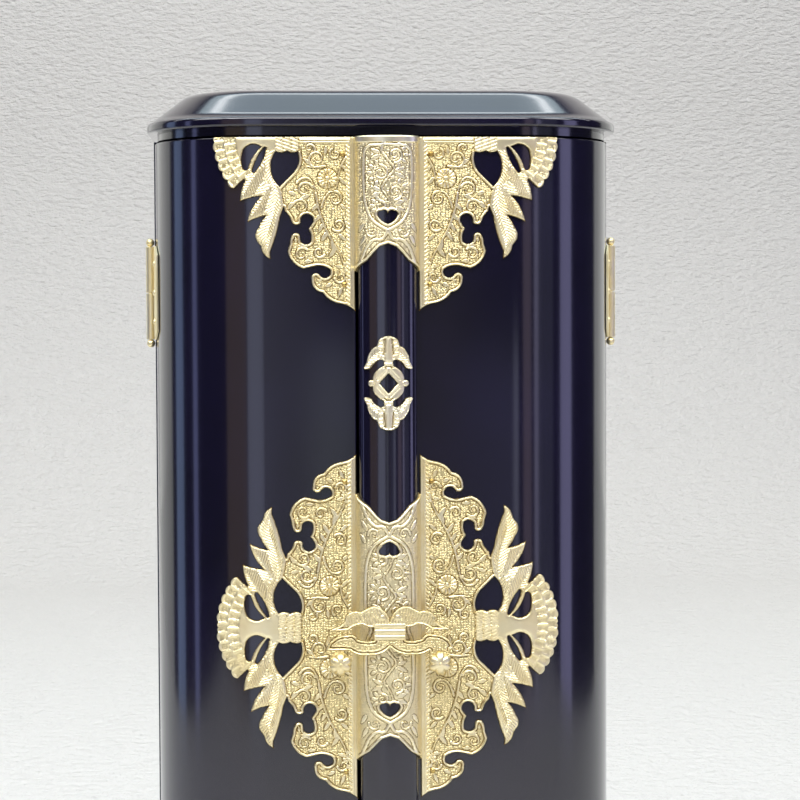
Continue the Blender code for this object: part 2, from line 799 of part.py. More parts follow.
LATCH_WINGS = [
    (0, 0.5, 0),
    (5.0, 1.9, -0.12),
    (11.4, 2.6, 0.1),
    (17.6, 0.2, 0),
    (26.5, 0, 0),
    (22.7, 1.6, 0.1),
    (19.0, 4.3, -0.2),
    (15.5, 8.2, -0.1),
    (12.6, 7.9, 0.0),
    (8.4, 10.0, -0.15),
    (2.2, 8.1, -0.12),
    (0, 3.0, 0),
]
LATCH_BUCKLE = [(-6.8, 3.2, 0), (-6.8, -4.2, 0), (6.8, -4.2, 0), (6.8, 3.2, 0)]
LATCH_LOBES = [
    (0, -7.2, -0.12),
    (9.5, -10.3, -0.1),
    (17.0, -8.4, 0),
    (19.0, -8.2, 0),
    (24.4, -8.2, 0),
    (27.2, -8.0, 0),
    (25.6, -5.0, -0.12),
    (18.0, -1.8, -0.2),
    (13.5, -3.6, 0.1),
    (5.0, -3.6, 0),
    (0, -3.6, 0),
]
LATCH_ARM_TOP = -7.0


def make_latch():
    """The pierced latch: a winged bar in front of the batten, with an eye on the right stud."""
    scale = LATCH_SPAN / LATCH_MOTIF_SPAN
    lap = Vector((-SEAM_LAP, 0))
    shapes = [bulged(LATCH_BUCKLE)]
    for outline in (bulged(LATCH_WINGS), bulged(LATCH_LOBES)):
        lapped = [point + lap if point.x == 0 else point for point in outline]
        shapes += [lapped, mirrored(lapped, run=-1)]
    stud = Vector((STUD_SPACING / 2, -STUD_DROP)) / scale
    eye = LATCH_EYE_RADIUS / scale
    left, right = stud.x - eye, stud.x + eye
    arm = [(left, LATCH_ARM_TOP), (right, LATCH_ARM_TOP), (right, stud.y), (left, stud.y)]
    shapes += [ring(stud, eye, FINE_SIDES), [Vector(point) for point in arm]]
    holes = [ring(stud, (STUD_NECK_RADIUS + STUD_NECK_PLAY) / scale)]

    def place(point, height):
        return (point.x * scale, FRONT - STUD_REACH - height, DOOR_MIDDLE + point.y * scale)

    return pierced_plate(shapes, holes, [], [], place, LATCH_PLATE)


def make_stud(side):
    """A stud on a door's fitting: a foot, a neck and a head with petals."""
    bed = FRONT - JOIN_GAP - PLATE - PLATE_RELIEF - JOIN_GAP
    neck_end = FRONT - STUD_REACH - LATCH_PLATE - JOIN_GAP
    foot = bed - STUD_FOOT_HEIGHT
    widest = neck_end - STUD_HEAD_BACK
    profile = [(STUD_FOOT_RADIUS, bed, 0.0), (STUD_FOOT_TOP_RADIUS, foot, 0.0)]
    profile += [(STUD_NECK_RADIUS, foot, 0.0), (STUD_NECK_RADIUS, neck_end, 0.0)]
    profile += [(STUD_HEAD_BACK_RADIUS, neck_end, 1.0), (STUD_HEAD_RADIUS, widest, 1.0)]
    for across, out in quarter_round(2)[1:]:
        reach = STUD_HEAD_TIP_RADIUS + (STUD_HEAD_RADIUS - STUD_HEAD_TIP_RADIUS) * across
        profile.append((reach, widest - (STUD_HEAD_HEIGHT - STUD_HEAD_BACK) * out, across))
    sides = STUD_PETALS * 2
    rings = []
    for radius, y, petal in profile:
        points = []
        for step in range(sides):
            turn = step / sides * math.tau
            reach = radius * (1 - STUD_PETAL_DEPTH * petal * (1 + math.cos(STUD_PETALS * turn)) / 2)
            x = side * STUD_SPACING / 2 + reach * math.cos(turn)
            points.append((x, y, DOOR_MIDDLE - STUD_DROP + reach * math.sin(turn)))
        rings.append(points)
    return stack(rings)


# Hinges


def leaf_plate(side, way, middle):
    """The flat of a hinge leaf: bent onto the door if way is -1, on the cabinet's side if it is 1."""
    near = HINGE_LEAF_EDGE / MM
    far = HINGE_LEAF_WIDTH / MM
    half = HINGE_HEIGHT / 2 / MM
    cut = HINGE_LEAF_CORNER / MM
    face = [(near, -half), (far - cut, -half), (far, cut - half)]
    face += [(far, half - cut), (far - cut, half), (near, half)]
    bends = []
    for run in corner_runs(CORNER_START):
        reach = way * (run - HINGE_RUN) / MM
        if near < reach < far:
            bends.append([Vector((reach, -half - 1)), Vector((reach, half + 1))])

    def place(point, height):
        x, y = CABINET.at(side * (HINGE_RUN + way * point.x * MM), JOIN_GAP + height)
        return (x, y, middle + point.y * MM)

    outline = [Vector(point) for point in face]
    return pierced_plate([outline], [], bends, [], place, HINGE_LEAF_THICKNESS)


def knuckle(side, way, low, high):
    """A hinge leaf's barrel, with its web into the leaf, seen from above."""
    reach = CABINET_WIDTH / 2 + JOIN_GAP + HINGE_WEB_SKIN
    inner = side * reach
    outer = side * (reach + HINGE_LEAF_THICKNESS - 2 * HINGE_WEB_SKIN)
    web_end = HINGE_LINE + way * (HINGE_LEAF_EDGE + 2 * HINGE_LEAF_THICKNESS)
    web = [(inner, HINGE_LINE), (inner, web_end), (outer, web_end), (outer, HINGE_LINE)]
    axis = (side * HINGE_AXIS / MM, HINGE_LINE / MM)
    shapes = [[Vector(point) / MM for point in web], ring(axis, HINGE_BARREL_RADIUS / MM)]
    holes = [ring(axis, (HINGE_PIN_RADIUS + HINGE_PIN_PLAY) / MM)]

    def place(point, height):
        return (point.x * MM, point.y * MM, low + height)

    return pierced_plate(shapes, holes, [], [], place, high - low)


def make_leaf(name, side, way, middle, finish, parent):
    """A hinge leaf with its knuckle: the upper one on the door, the lower one on the cabinet."""
    half = HINGE_HEIGHT / 2
    gap = HINGE_KNUCKLE_GAP / 2
    levels = (middle + gap, middle + half) if way < 0 else (middle - half, middle - gap)
    leaf = add(name, leaf_plate(side, way, middle), finish, parent)
    barrel = add(f"{name}_barrel", knuckle(side, way, *levels), finish, parent)
    barrel.hide_render = True
    barrel.display_type = "WIRE"
    joined = leaf.modifiers.new("barrel", "BOOLEAN")
    joined.operation = "UNION"
    joined.solver = "EXACT"
    joined.object = barrel
    return leaf


def make_pin(side, middle):
    """A hinge pin with a ball finial at each end."""
    end = HINGE_HEIGHT / 2 + JOIN_GAP
    ball = [math.pi * step / 4 for step in range(1, 4)]
    profile = []
    for turn in reversed(ball):
        level = end + HINGE_FINIAL_RADIUS * (1 + math.cos(turn))
        profile.append((HINGE_FINIAL_RADIUS * math.sin(turn), level))
    profile = [(HINGE_PIN_RADIUS, end)] + profile
    rings = []
    for radius, level in [(r, -z) for r, z in reversed(profile)] + profile:
        rings.append([(x, y, middle + level) for x, y in ring((side * HINGE_AXIS, HINGE_LINE), radius)])
    return stack(rings)


# Assembly


def build():
    for obj in list(bpy.data.objects):
        bpy.data.objects.remove(obj, do_unlink=True)
    add("lid", make_lid(), BLACK_LACQUER)
    add("base", make_base(), BLACK_LACQUER)
    add("cabinet_shell", make_shell(), BLACK_LACQUER, bevel=EDGE_BEVEL)
    doors = {}
    hinges = (("upper", DOOR_TOP - HINGE_FROM_END), ("lower", DOOR_FLOOR + HINGE_FROM_END))
    for word, side in (("left", -1), ("right", 1)):
        door = pivot(f"{word}_door_axis", (side * HINGE_AXIS, HINGE_LINE, DOOR_MIDDLE))
        doors[word] = door
        add(f"door_{word}", make_door(side), BLACK_LACQUER, door, bevel=EDGE_BEVEL)
        add(f"fitting_{word}_top", make_corner_fitting(side, DOOR_TOP, -1), GILT_BRASS, door)
        add(f"fitting_{word}_middle", make_middle_fitting(side), GILT_BRASS, door)
        add(f"fitting_{word}_bottom", make_corner_fitting(side, DOOR_FLOOR, 1), GILT_BRASS, door)
        add(f"latch_stud_{word}", make_stud(side), PALE_BRASS, door)
        for place, middle in hinges:
            name = f"hinge_{word}_{place}"
            make_leaf(f"{name}_door_leaf", side, -1, middle, PALE_BRASS, door)
            make_leaf(f"{name}_cabinet_leaf", side, 1, middle, PALE_BRASS, None)
            add(f"{name}_pin", make_pin(side, middle), PALE_BRASS)
    right = doors["right"]
    add("batten", make_batten(), BLACK_LACQUER, right, bevel=EDGE_BEVEL)
    add("batten_fitting_top", make_batten_fitting(DOOR_TOP, -1), PALE_BRASS, right)
    add("batten_fitting_middle", make_batten_fitting(DOOR_MIDDLE, 1, whole=True), PALE_BRASS, right)
    add("batten_fitting_bottom", make_batten_fitting(DOOR_FLOOR, 1), PALE_BRASS, right)
    for word, end in (("upper", DOOR_TOP), ("lower", DOOR_FLOOR)):
        add(f"ornament_{word}", make_ornament((end + DOOR_MIDDLE) / 2), PALE_BRASS, right)
    stud = (STUD_SPACING / 2, FRONT - STUD_REACH - LATCH_PLATE / 2, DOOR_MIDDLE - STUD_DROP)
    latch_axis = pivot("latch_axis", stud, right)
    add("latch", make_latch(), GILT_BRASS, latch_axis)


build()
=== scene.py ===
"""Looks of a portable shrine: black lacquer, pierced gilt brass and plain studio light.

Every size that the solids already hold is read from the frame. The openwork is drawn flat in
millimetres, as (run, drop) points from its straight edge and from its line of symmetry, given a
relief by distance functions, and then wrapped onto the surface that carries it.
"""

import logging
import math
from dataclasses import dataclass
from enum import Enum
from typing import Callable, Optional, Sequence, Union

import bpy
import numpy as np
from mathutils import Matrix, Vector
from mathutils.geometry import delaunay_2d_cdt


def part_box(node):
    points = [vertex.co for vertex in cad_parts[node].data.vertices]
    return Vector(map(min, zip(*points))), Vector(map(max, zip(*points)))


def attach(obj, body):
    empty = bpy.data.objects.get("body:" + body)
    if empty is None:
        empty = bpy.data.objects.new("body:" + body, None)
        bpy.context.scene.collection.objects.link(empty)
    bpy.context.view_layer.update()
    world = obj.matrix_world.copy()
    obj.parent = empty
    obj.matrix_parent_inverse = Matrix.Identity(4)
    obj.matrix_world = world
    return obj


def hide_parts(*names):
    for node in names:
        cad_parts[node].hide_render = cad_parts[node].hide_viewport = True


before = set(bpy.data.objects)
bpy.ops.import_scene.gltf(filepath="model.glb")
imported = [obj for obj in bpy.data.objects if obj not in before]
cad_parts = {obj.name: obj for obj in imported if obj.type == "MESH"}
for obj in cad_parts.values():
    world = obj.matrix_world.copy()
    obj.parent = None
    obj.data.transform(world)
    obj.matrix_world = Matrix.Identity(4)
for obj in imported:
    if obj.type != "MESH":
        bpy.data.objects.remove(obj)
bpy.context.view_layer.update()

LOG = logging.getLogger("portable_shrine")
MM = 0.001

# Sizes that the frame gives, in metres

SHELL_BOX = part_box("cabinet_shell")
DOOR_LEFT_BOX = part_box("door_left")
BATTEN_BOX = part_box("batten")
LID_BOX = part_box("lid")
BASE_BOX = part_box("base")
LATCH_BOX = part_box("latch")
STUD_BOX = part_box("latch_stud_right")
FITTING_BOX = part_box("fitting_right_top")

HALF_WIDTH = SHELL_BOX[1][0]
HALF_DEPTH = SHELL_BOX[1][1]
FRONT = -HALF_DEPTH
CORNER_RADIUS = 48 * MM
WALL = 8 * MM
DOOR_FLOOR = DOOR_LEFT_BOX[0][2]
DOOR_TOP = DOOR_LEFT_BOX[1][2]
DOOR_MIDDLE = (DOOR_FLOOR + DOOR_TOP) / 2
BATTEN_HALF = BATTEN_BOX[1][0]
BATTEN_FLANK = 2.6 * MM
BATTEN_CROWN = FRONT - BATTEN_BOX[0][1] - BATTEN_FLANK
FITTING_START = FITTING_BOX[0][0]
STUD_X = (STUD_BOX[0][0] + STUD_BOX[1][0]) / 2
STUD_Z = (STUD_BOX[0][2] + STUD_BOX[1][2]) / 2
HINGE_GAP = 0.4 * MM
JOIN_GAP = 0.3 * MM
PLATE = 0.8 * MM

# Distances in the flat drawings, in millimetres: how far from its rim a sheet still measures, the
# triangles' sizes on its front and back, and the gap kept free beside an outline

RIM_REACH = 6.0
SPACING = 0.35
FINE_SPACING = 0.3
BACK_SPACING = 2.4
OUTLINE_GAP = 0.6

# The angles over which an edge stays sharp, and the weld that closes the seam between two halves

PLAIN_SHARP_DEG = 40.0
CHASED_SHARP_DEG = 60.0
STUD_SHARP_DEG = 35.0
LOFT_SHARP_DEG = 45.0
SEAM_WELD = 0.02 * MM

Points = np.ndarray
Place = Callable[[Points, Points], Points]
Skin = tuple[list, list, Points]
Tree = bpy.types.NodeTree
Node = bpy.types.Node
Socket = bpy.types.NodeSocket
Colour = Union[str, Socket]


class Slot(Enum):
    """The record's material slots."""

    LACQUER = "black_lacquer"
    GILT = "gilt_brass"
    PALE = "pale_brass"


class Body(Enum):
    """The bodies that pieces ride on."""

    CABINET = "cabinet"
    RIGHT = "right_door"
    LEFT = "left_door"
    LATCH = "latch"


# Each side's word, sign and door, and each end's word, level and the way that a drawing runs there

SIDES = (("left", -1, Body.LEFT), ("right", 1, Body.RIGHT))
ENDS = (("top", DOOR_TOP, -1), ("bottom", DOOR_FLOOR, 1))


# Finishes


def linear(colour: str) -> tuple[float, float, float, float]:
    """Turns an sRGB hex colour into linear values.

    Args:
        colour: Six hex digits after a hash sign.

    Returns:
        Red, green, blue and an alpha of 1.
    """
    parts = [int(colour[i:i + 2], 16) / 255 for i in (1, 3, 5)]
    red, green, blue = (c / 12.92 if c <= 0.04045 else ((c + 0.055) / 1.055) ** 2.4 for c in parts)
    return red, green, blue, 1.0


def add_node(tree: Tree, kind: str, settings: dict, links: dict) -> Node:
    """Adds one node with its settings and its incoming links.

    Args:
        tree: The node tree.
        kind: The node's type.
        settings: Values by attribute name, or by input name or number.
        links: Output sockets by the name or number of the input that they feed.

    Returns:
        The new node.
    """
    return fill(tree, tree.nodes.new(kind), settings, links)


def fill(tree: Tree, node: Node, settings: dict, links: dict) -> Node:
    """Gives a node its settings and its incoming links, as add_node does.

    Args:
        tree: The node tree.
        node: The node.
        settings: Values by attribute name, or by input name or number.
        links: Output sockets by the name or number of the input that they feed.

    Returns:
        The node.
    """
    for name, value in settings.items():
        if isinstance(name, str) and hasattr(node, name):
            setattr(node, name, value)
        else:
            node.inputs[name].default_value = value
    for name, socket in links.items():
        tree.links.new(socket, node.inputs[name])
    return node


def blank_material(name: str) -> tuple[bpy.types.Material, Tree, Node, Socket]:
    """Makes a material with one Principled shader.

    Args:
        name: The material's name.

    Returns:
        The material, its tree, its shader, and the coordinates for its patterns in metres.
    """
    made = bpy.data.materials.new(name)
    made.use_nodes = True
    tree = made.node_tree
    place = add_node(tree, "ShaderNodeTexCoord", {}, {}).outputs["Object"]
    return made, tree, tree.nodes["Principled BSDF"], place


def repeat(size_mm: float) -> float:
    """The scale of a pattern whose grain is that long."""
    return 1 / (size_mm * MM)


def ramp(tree: Tree, source: Socket, stops: Sequence[tuple]) -> Socket:
    """Adds a colour ramp.

    Args:
        tree: The node tree.
        source: The factor's socket.
        stops: Pairs of a position and a linear colour.

    Returns:
        The ramp's colour.
    """
    node = add_node(tree, "ShaderNodeValToRGB", {}, {"Fac": source})
    elements = node.color_ramp.elements
    for place, _ in stops[2:]:
        elements.new(place)
    for element, (place, colour) in zip(elements, stops):
        element.position = place
        element.color = colour
    return node.outputs["Color"]


@dataclass(frozen=True)
class PolishedLacquer:
    """Black lacquer on wood, sprayed, rubbed down and polished: a deep mirror with a faint wave."""

    name: str = "polished_black_lacquer"
    deep: str = "#0A0819"
    bloom: str = "#100D24"
    roughness: float = 0.11
    coat: float = 0.6
    coat_roughness: float = 0.1
    ior: float = 1.54
    wave_mm: float = 30.0
    wave_height_mm: float = 0.6
    haze_mm: float = 60.0
    dust_mm: float = 0.9

    def build(self) -> bpy.types.Material:
        """Builds the lacquer: near black, with a clear coat over it."""
        made, tree, shader, place = blank_material(self.name)
        haze = add_node(
            tree, "ShaderNodeTexNoise", {"Scale": repeat(self.haze_mm), "Detail": 3.0}, {"Vector": place}
        )
        dust = add_node(
            tree, "ShaderNodeTexNoise", {"Scale": repeat(self.dust_mm), "Detail": 2.0}, {"Vector": place}
        )
        rough = add_node(
            tree,
            "ShaderNodeMapRange",
            {"From Min": 0.3, "From Max": 0.75, "To Min": self.roughness, "To Max": self.roughness * 1.6},
            {"Value": dust.outputs["Fac"]},
        )
        stretch = add_node(tree, "ShaderNodeMapping", {"Scale": (1.0, 1.0, 0.25)}, {"Vector": place})
        wave = add_node(
            tree,
            "ShaderNodeTexNoise",
            {"Scale": repeat(self.wave_mm), "Detail": 1.0},
            {"Vector": stretch.outputs[0]},
        )
        bump = add_node(
            tree,
            "ShaderNodeBump",
            {"Strength": 0.16, "Distance": self.wave_height_mm * MM},
            {"Height": wave.outputs["Fac"]},
        )
        fill(
            tree,
            shader,
            {"IOR": self.ior, "Coat Weight": self.coat, "Coat Roughness": self.coat_roughness},
            {
                "Base Color": ramp(
                    tree, haze.outputs["Fac"], ((0.35, linear(self.deep)), (0.7, linear(self.bloom)))
                ),
                "Roughness": rough.outputs["Result"],
                "Normal": bump.outputs["Normal"],
            },
        )
        return made


@dataclass(frozen=True)
class GiltBrass:
    """Sheet brass, pierced, chased and gilt: worn bright on the relief, with painted shade, partly tarnish,
    darkening the sunk grooves and the ground between ring punches.
    """

    name: str
    bright: str
    deep: str
    # ground and groove: darker colours for the punched ground and the sunk grooves, painted shade that is
    # partly tarnish
    ground: str
    groove: str
    roughness: float
    punch_mm: float = 1.15
    punch_strength: float = 0.0
    punch_depth_mm: float = 0.22
    tarnish_mm: float = 14.0

    def build(self) -> bpy.types.Material:
        """Builds the metal. Each punched ring is one cell of a Voronoi pattern."""
        made, tree, shader, place = blank_material(self.name)
        tarnish = add_node(
            tree, "ShaderNodeTexNoise", {"Scale": repeat(self.tarnish_mm), "Detail": 5.0}, {"Vector": place}
        ).outputs["Fac"]
        face = ramp(tree, tarnish, ((0.3, linear(self.deep)), (0.62, linear(self.bright))))
        dull = add_node(
            tree,
            "ShaderNodeMapRange",
            {
                "From Min": 0.3,
                "From Max": 0.7,
                "To Min": self.roughness + 0.06,
                "To Max": self.roughness - 0.04,
            },
            {"Value": tarnish},
        )
        if self.punch_strength:
            face = self.chased_colour(tree, face, place, shader)
        fill(tree, shader, {"Metallic": 1.0}, {"Base Color": face, "Roughness": dull.outputs["Result"]})
        return made

    def chased_colour(self, tree: Tree, face: Socket, place: Socket, shader: Node) -> Socket:
        """Paints shade, partly tarnish, into the sunk grooves and the ground between the punched rings, and
        punches rings into it.

        Args:
            tree: The material's tree.
            face: The colour of the raised metal.
            place: The pattern's coordinates.
            shader: The shader that takes the rings as bumps.

        Returns:
            The colour's socket.
        """
        relief = add_node(tree, "ShaderNodeAttribute", {"attribute_name": "relief"}, {}).outputs["Fac"]
        cell = add_node(
            tree,
            "ShaderNodeTexVoronoi",
            {"Scale": repeat(self.punch_mm), "Randomness": 0.55},
            {"Vector": place},
        )
        stops = ((0.0, 0.35), (0.18, 0.3), (0.36, 1.0), (0.58, 0.0))
        rings = ramp(tree, cell.outputs["Distance"], [(at, (grey, grey, grey, 1)) for at, grey in stops])
        raised, sunk, flat = (
            add_node(tree, "ShaderNodeMapRange", {"From Min": low, "From Max": high}, {"Value": relief})
            .outputs["Result"]
            for low, high in ((0.04, 0.2), (-0.12, 0.0), (0.2, 0.04))
        )
        # Painted shade, partly tarnish: the ground between punched rings and the sunk grooves get darker
        # colours
        punched = self.mix(tree, rings, self.ground, self.deep)
        low = self.mix(tree, sunk, self.groove, punched)
        colour = self.mix(tree, raised, low, face)
        depth = add_node(tree, "ShaderNodeMath", {"operation": "MULTIPLY"}, {0: rings, 1: flat})
        bump = add_node(
            tree,
            "ShaderNodeBump",
            {"Strength": self.punch_strength, "Distance": self.punch_depth_mm * MM},
            {"Height": depth.outputs[0]},
        )
        fill(tree, shader, {}, {"Normal": bump.outputs["Normal"]})
        return colour

    def mix(self, tree: Tree, factor: Socket, low: Colour, high: Colour) -> Socket:
        """Mixes two colours, each a hex value or a socket, by a factor.

        Args:
            tree: The node tree.
            factor: 0 for the first colour, 1 for the second.
            low: The first colour.
            high: The second colour.

        Returns:
            The mixed colour's socket.
        """
        node = add_node(tree, "ShaderNodeMix", {"data_type": "RGBA"}, {0: factor})
        for number, colour in ((6, low), (7, high)):
            if isinstance(colour, str):
                node.inputs[number].default_value = linear(colour)
            else:
                tree.links.new(colour, node.inputs[number])
        return node.outputs[2]


@dataclass(frozen=True)
class PaintedPaper:
    """Embossed lining paper painted off-white: matt, with a soft plaster-like grain."""

    name: str
    colour: str
    grain_mm: float = 12.0
    grain_height_mm: float = 8.0

    def build(self) -> bpy.types.Material:
        """Builds the paper: one long, low grain. It is drawn higher than real, so that it shows."""
        made, tree, shader, place = blank_material(self.name)
        stretch = add_node(tree, "ShaderNodeMapping", {"Scale": (1.0, 1.0, 2.2)}, {"Vector": place})
        grain = add_node(
            tree,
            "ShaderNodeTexNoise",
            {"Scale": repeat(self.grain_mm), "Detail": 4.0, "Roughness": 0.6},
            {"Vector": stretch.outputs[0]},
        )
        bump = add_node(
            tree,
            "ShaderNodeBump",
            {"Strength": 1.0, "Distance": self.grain_height_mm * MM},
            {"Height": grain.outputs["Fac"]},
        )
        settings = {"Base Color": linear(self.colour), "Roughness": 0.85}
        fill(tree, shader, settings, {"Normal": bump.outputs["Normal"]})
        return made


class Workshop:
    """Holds one built material for each finish."""

    def __init__(self) -> None:
        """Builds the finishes."""
        self.lacquer = PolishedLacquer().build()
        # The third and fourth colours, for the punched ground and the sunk grooves, are painted shade that
        # is partly tarnish
        self.gilt = GiltBrass(
            "gilt_chased_brass", "#FCF0C6", "#F1E0AC", "#E0D09A", "#7C602C", 0.38, punch_strength=0.9
        ).build()
        self.pale = GiltBrass(
            "pale_gilt_brass", "#FEF6D6", "#F9EBC0", "#EEE1B4", "#846E40", 0.36, punch_strength=0.6
        ).build()
        self.bright = GiltBrass(
            "polished_gilt_brass", "#FCF0C8", "#F0DEA6", "#E6D096", "#E6D096", 0.4
        ).build()
        self.nail = GiltBrass("worn_brass_nail", "#D8BC74", "#A88848", "#98783C", "#98783C", 0.36).build()


# Meshes


def make_piece(
    name: str,
    points: Sequence,
    faces: Sequence,
    material: bpy.types.Material,
    body: Body,
    nodes: Sequence[str] = (),
    sharp_deg: float = PLAIN_SHARP_DEG,
    relief: Optional[Points] = None,
) -> bpy.types.Object:
    """Makes one piece of the object from points and faces.

    Args:
        name: The piece's name.
        points: Its points in metres, in the frame.
        faces: Its faces.
        material: Its finish.
        body: The body that it rides on.
        nodes: The solids that it stands for.
        sharp_deg: Edges sharper than this stay sharp.
        relief: Each point's height over the plain sheet in millimetres, for the finish.

    Returns:
        The new object.
    """
    mesh = bpy.data.meshes.new(name)
    mesh.from_pydata([tuple(point) for point in points], [], [tuple(face) for face in faces])
    mesh.validate()
    if relief is not None:
        mesh.attributes.new("relief", "FLOAT", "POINT").data.foreach_set("value", relief)
    mesh.shade_smooth()
    mesh.set_sharp_from_angle(angle=math.radians(sharp_deg))
    mesh.materials.append(material)
    piece = bpy.data.objects.new(name, mesh)
    bpy.context.scene.collection.objects.link(piece)
    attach(piece, body.value)
    if nodes:
        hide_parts(*nodes)
    LOG.info("%s: %d faces on %s", name, len(mesh.polygons), body.value)
    return piece


def soften(piece: bpy.types.Object, width: float, segments: int = 3) -> None:
    """Rounds a piece's sharp edges.

    Args:
        piece: The piece.
        width: The rounding's width in metres.
        segments: How many faces it has across.
    """
    bevel = piece.modifiers.new("rounded edges", "BEVEL")
    bevel.width = width
    bevel.segments = segments
    bevel.limit_method = "ANGLE"
    bevel.angle_limit = math.radians(PLAIN_SHARP_DEG)
    bevel.harden_normals = True


def stacked(rings: Sequence[Sequence]) -> tuple[list, list]:
    """Joins rings of equal count into a closed skin with flat ends.

    Args:
        rings: The rings, each a list of points, in order.

    Returns:
        Points and faces.
    """
    count = len(rings[0])
    points = [tuple(point) for ring in rings for point in ring]
    faces = []
    for level in range(len(rings) - 1):
        base = level * count
        for i in range(count):
            j = (i + 1) % count
            faces.append((base + i, base + j, base + count + j, base + count + i))
    faces.append(tuple(reversed(range(count))))
    faces.append(tuple(range(len(points) - count, len(points))))
    return points, faces


def flipped(faces: Sequence, when: bool) -> list:
    """The faces, turned round to look the other way when asked."""
    return [face[::-1] for face in faces] if when else list(faces)


def add_skin(points: list, faces: list, more_points: Sequence, more_faces: Sequence) -> None:
    """Adds one skin's points and faces to a growing skin.

    Args:
        points: The growing skin's points.
        faces: Its faces.
        more_points: The points to add.
        more_faces: The faces to add, which count from the first added point.
    """
    first = len(points)
    points += [tuple(point) for point in more_points]
    faces += [tuple(first + i for i in face) for face in more_faces]


def chased_piece(
    node: str, skins: Sequence[Skin], material: bpy.types.Material, body: Body
) -> None:
    """Makes one chased fitting from its skins, and closes the seam between them.

    Args:
        node: The solid's name.
        skins: Points, faces and relief, one set for each half.
        material: Its finish.
        body: The body that it rides on.
    """
    points: list = []
    faces: list = []
    for more_points, more_faces, _ in skins:
        add_skin(points, faces, more_points, more_faces)
    relief = np.concatenate([skin[2] for skin in skins])
    piece = make_piece(
        f"{node}_chased", points, faces, material, body, (node,), CHASED_SHARP_DEG, relief
    )
    if len(skins) > 1:
        piece.modifiers.new("seam", "WELD").merge_threshold = SEAM_WELD


def circle(count: int) -> Points:
    """Evenly spaced points on a circle with a radius of 1."""
    turns = np.linspace(0, math.tau, count + 1)[:-1]
    return np.column_stack((np.cos(turns), np.sin(turns)))


def quarter_turns(count: int) -> list[float]:
    """Angles from nothing to a right angle, in so many steps."""
    return [step / count * math.pi / 2 for step in range(count + 1)]


def turned_rings(x: float, y: float, profile: Sequence[tuple], sides: int) -> list:
    """Rings round an upright axis.

    Args:
        x: The axis's x.
        y: The axis's y.
        profile: Pairs of a radius and a level.
        sides: How many points each ring has.

    Returns:
        One ring of points for each pair.
    """
    ring = circle(sides)
    return [[(x + reach * a, y + reach * b, level) for a, b in ring] for reach, level in profile]


# Surfaces that pieces follow


@dataclass(frozen=True)
class CabinetWall:
    """The cabinet's outline from above: a rectangle with round corners."""

    half_width: float = HALF_WIDTH
    half_depth: float = HALF_DEPTH
    radius: float = CORNER_RADIUS
    steps: int = 28

    def at(self, run: Points, offset: Points) -> tuple[Points, Points]:
        """Points at runs from the middle of the front, as far as the side's flat.

        Args:
            run: Runs, negative on the left.
            offset: Distances out from the wall.

        Returns:
            Their x and y.
        """
        flat = self.half_width - self.radius
        along = np.abs(run)
        turn = np.clip((along - flat) / self.radius, 0, math.pi / 2)
        past = np.maximum(along - flat - self.radius * math.pi / 2, 0)
        reach = self.radius + offset
        x = np.minimum(along, flat) + reach * np.sin(turn)
        y = -(self.half_depth - self.radius) - reach * np.cos(turn) + past
        return np.sign(run) * x, y

    def outline(self, offset: float) -> list[tuple[float, float]]:
        """The whole outline, moved outwards by the offset."""
        flat = self.half_width - self.radius
        deep = self.half_depth - self.radius
        points = []
        corners = ((flat, -deep, -0.5), (flat, deep, 0.0), (-flat, deep, 0.5), (-flat, -deep, 1.0))
        for x, y, start in corners:
            for step in range(self.steps + 1):
                turn = math.pi * (start + step / self.steps / 2)
                reach = self.radius + offset
                points.append((x + reach * math.cos(turn), y + reach * math.sin(turn)))
        return points


@dataclass(frozen=True)
class BattenFace:
    """The half-round batten from above, as points along its face."""

    half: float = BATTEN_HALF
    crown: float = BATTEN_CROWN
    flank: float = BATTEN_FLANK
    steps: int = 64

    def line(self) -> tuple[Points, Points, Points, Points, Points]:
        """Runs, x, y and the outward normals' x and y, from the crown to the door."""
        turn = np.linspace(0, math.pi / 2, self.steps + 1)
        x = np.append(self.half * np.sin(turn), self.half)
        y = np.append(FRONT - self.flank - self.crown * np.cos(turn), FRONT - JOIN_GAP)
        normal_x = np.append(np.sin(turn) / self.half, 1 / self.half)
        normal_y = np.append(-np.cos(turn) / self.crown, 0)
        length = np.hypot(normal_x, normal_y)
        runs = np.concatenate(([0], np.cumsum(np.hypot(np.diff(x), np.diff(y)))))
        return runs, x, y, normal_x / length, normal_y / length

    def at(self, run: Points, offset: Points) -> tuple[Points, Points]:
        """Points at runs from the crown, moved outwards by the offset.

        Args:
            run: Runs, negative on the left.
            offset: Distances out from the face.

        Returns:
            Their x and y.
        """
        runs, x, y, normal_x, normal_y = self.line()
        along = np.abs(run)
        out_x = np.interp(along, runs, x) + offset * np.interp(along, runs, normal_x)
        out_y = np.interp(along, runs, y) + offset * np.interp(along, runs, normal_y)
        return np.sign(run) * out_x, out_y


CABINET = CabinetWall()
BATTEN = BattenFace()


# Flat drawing


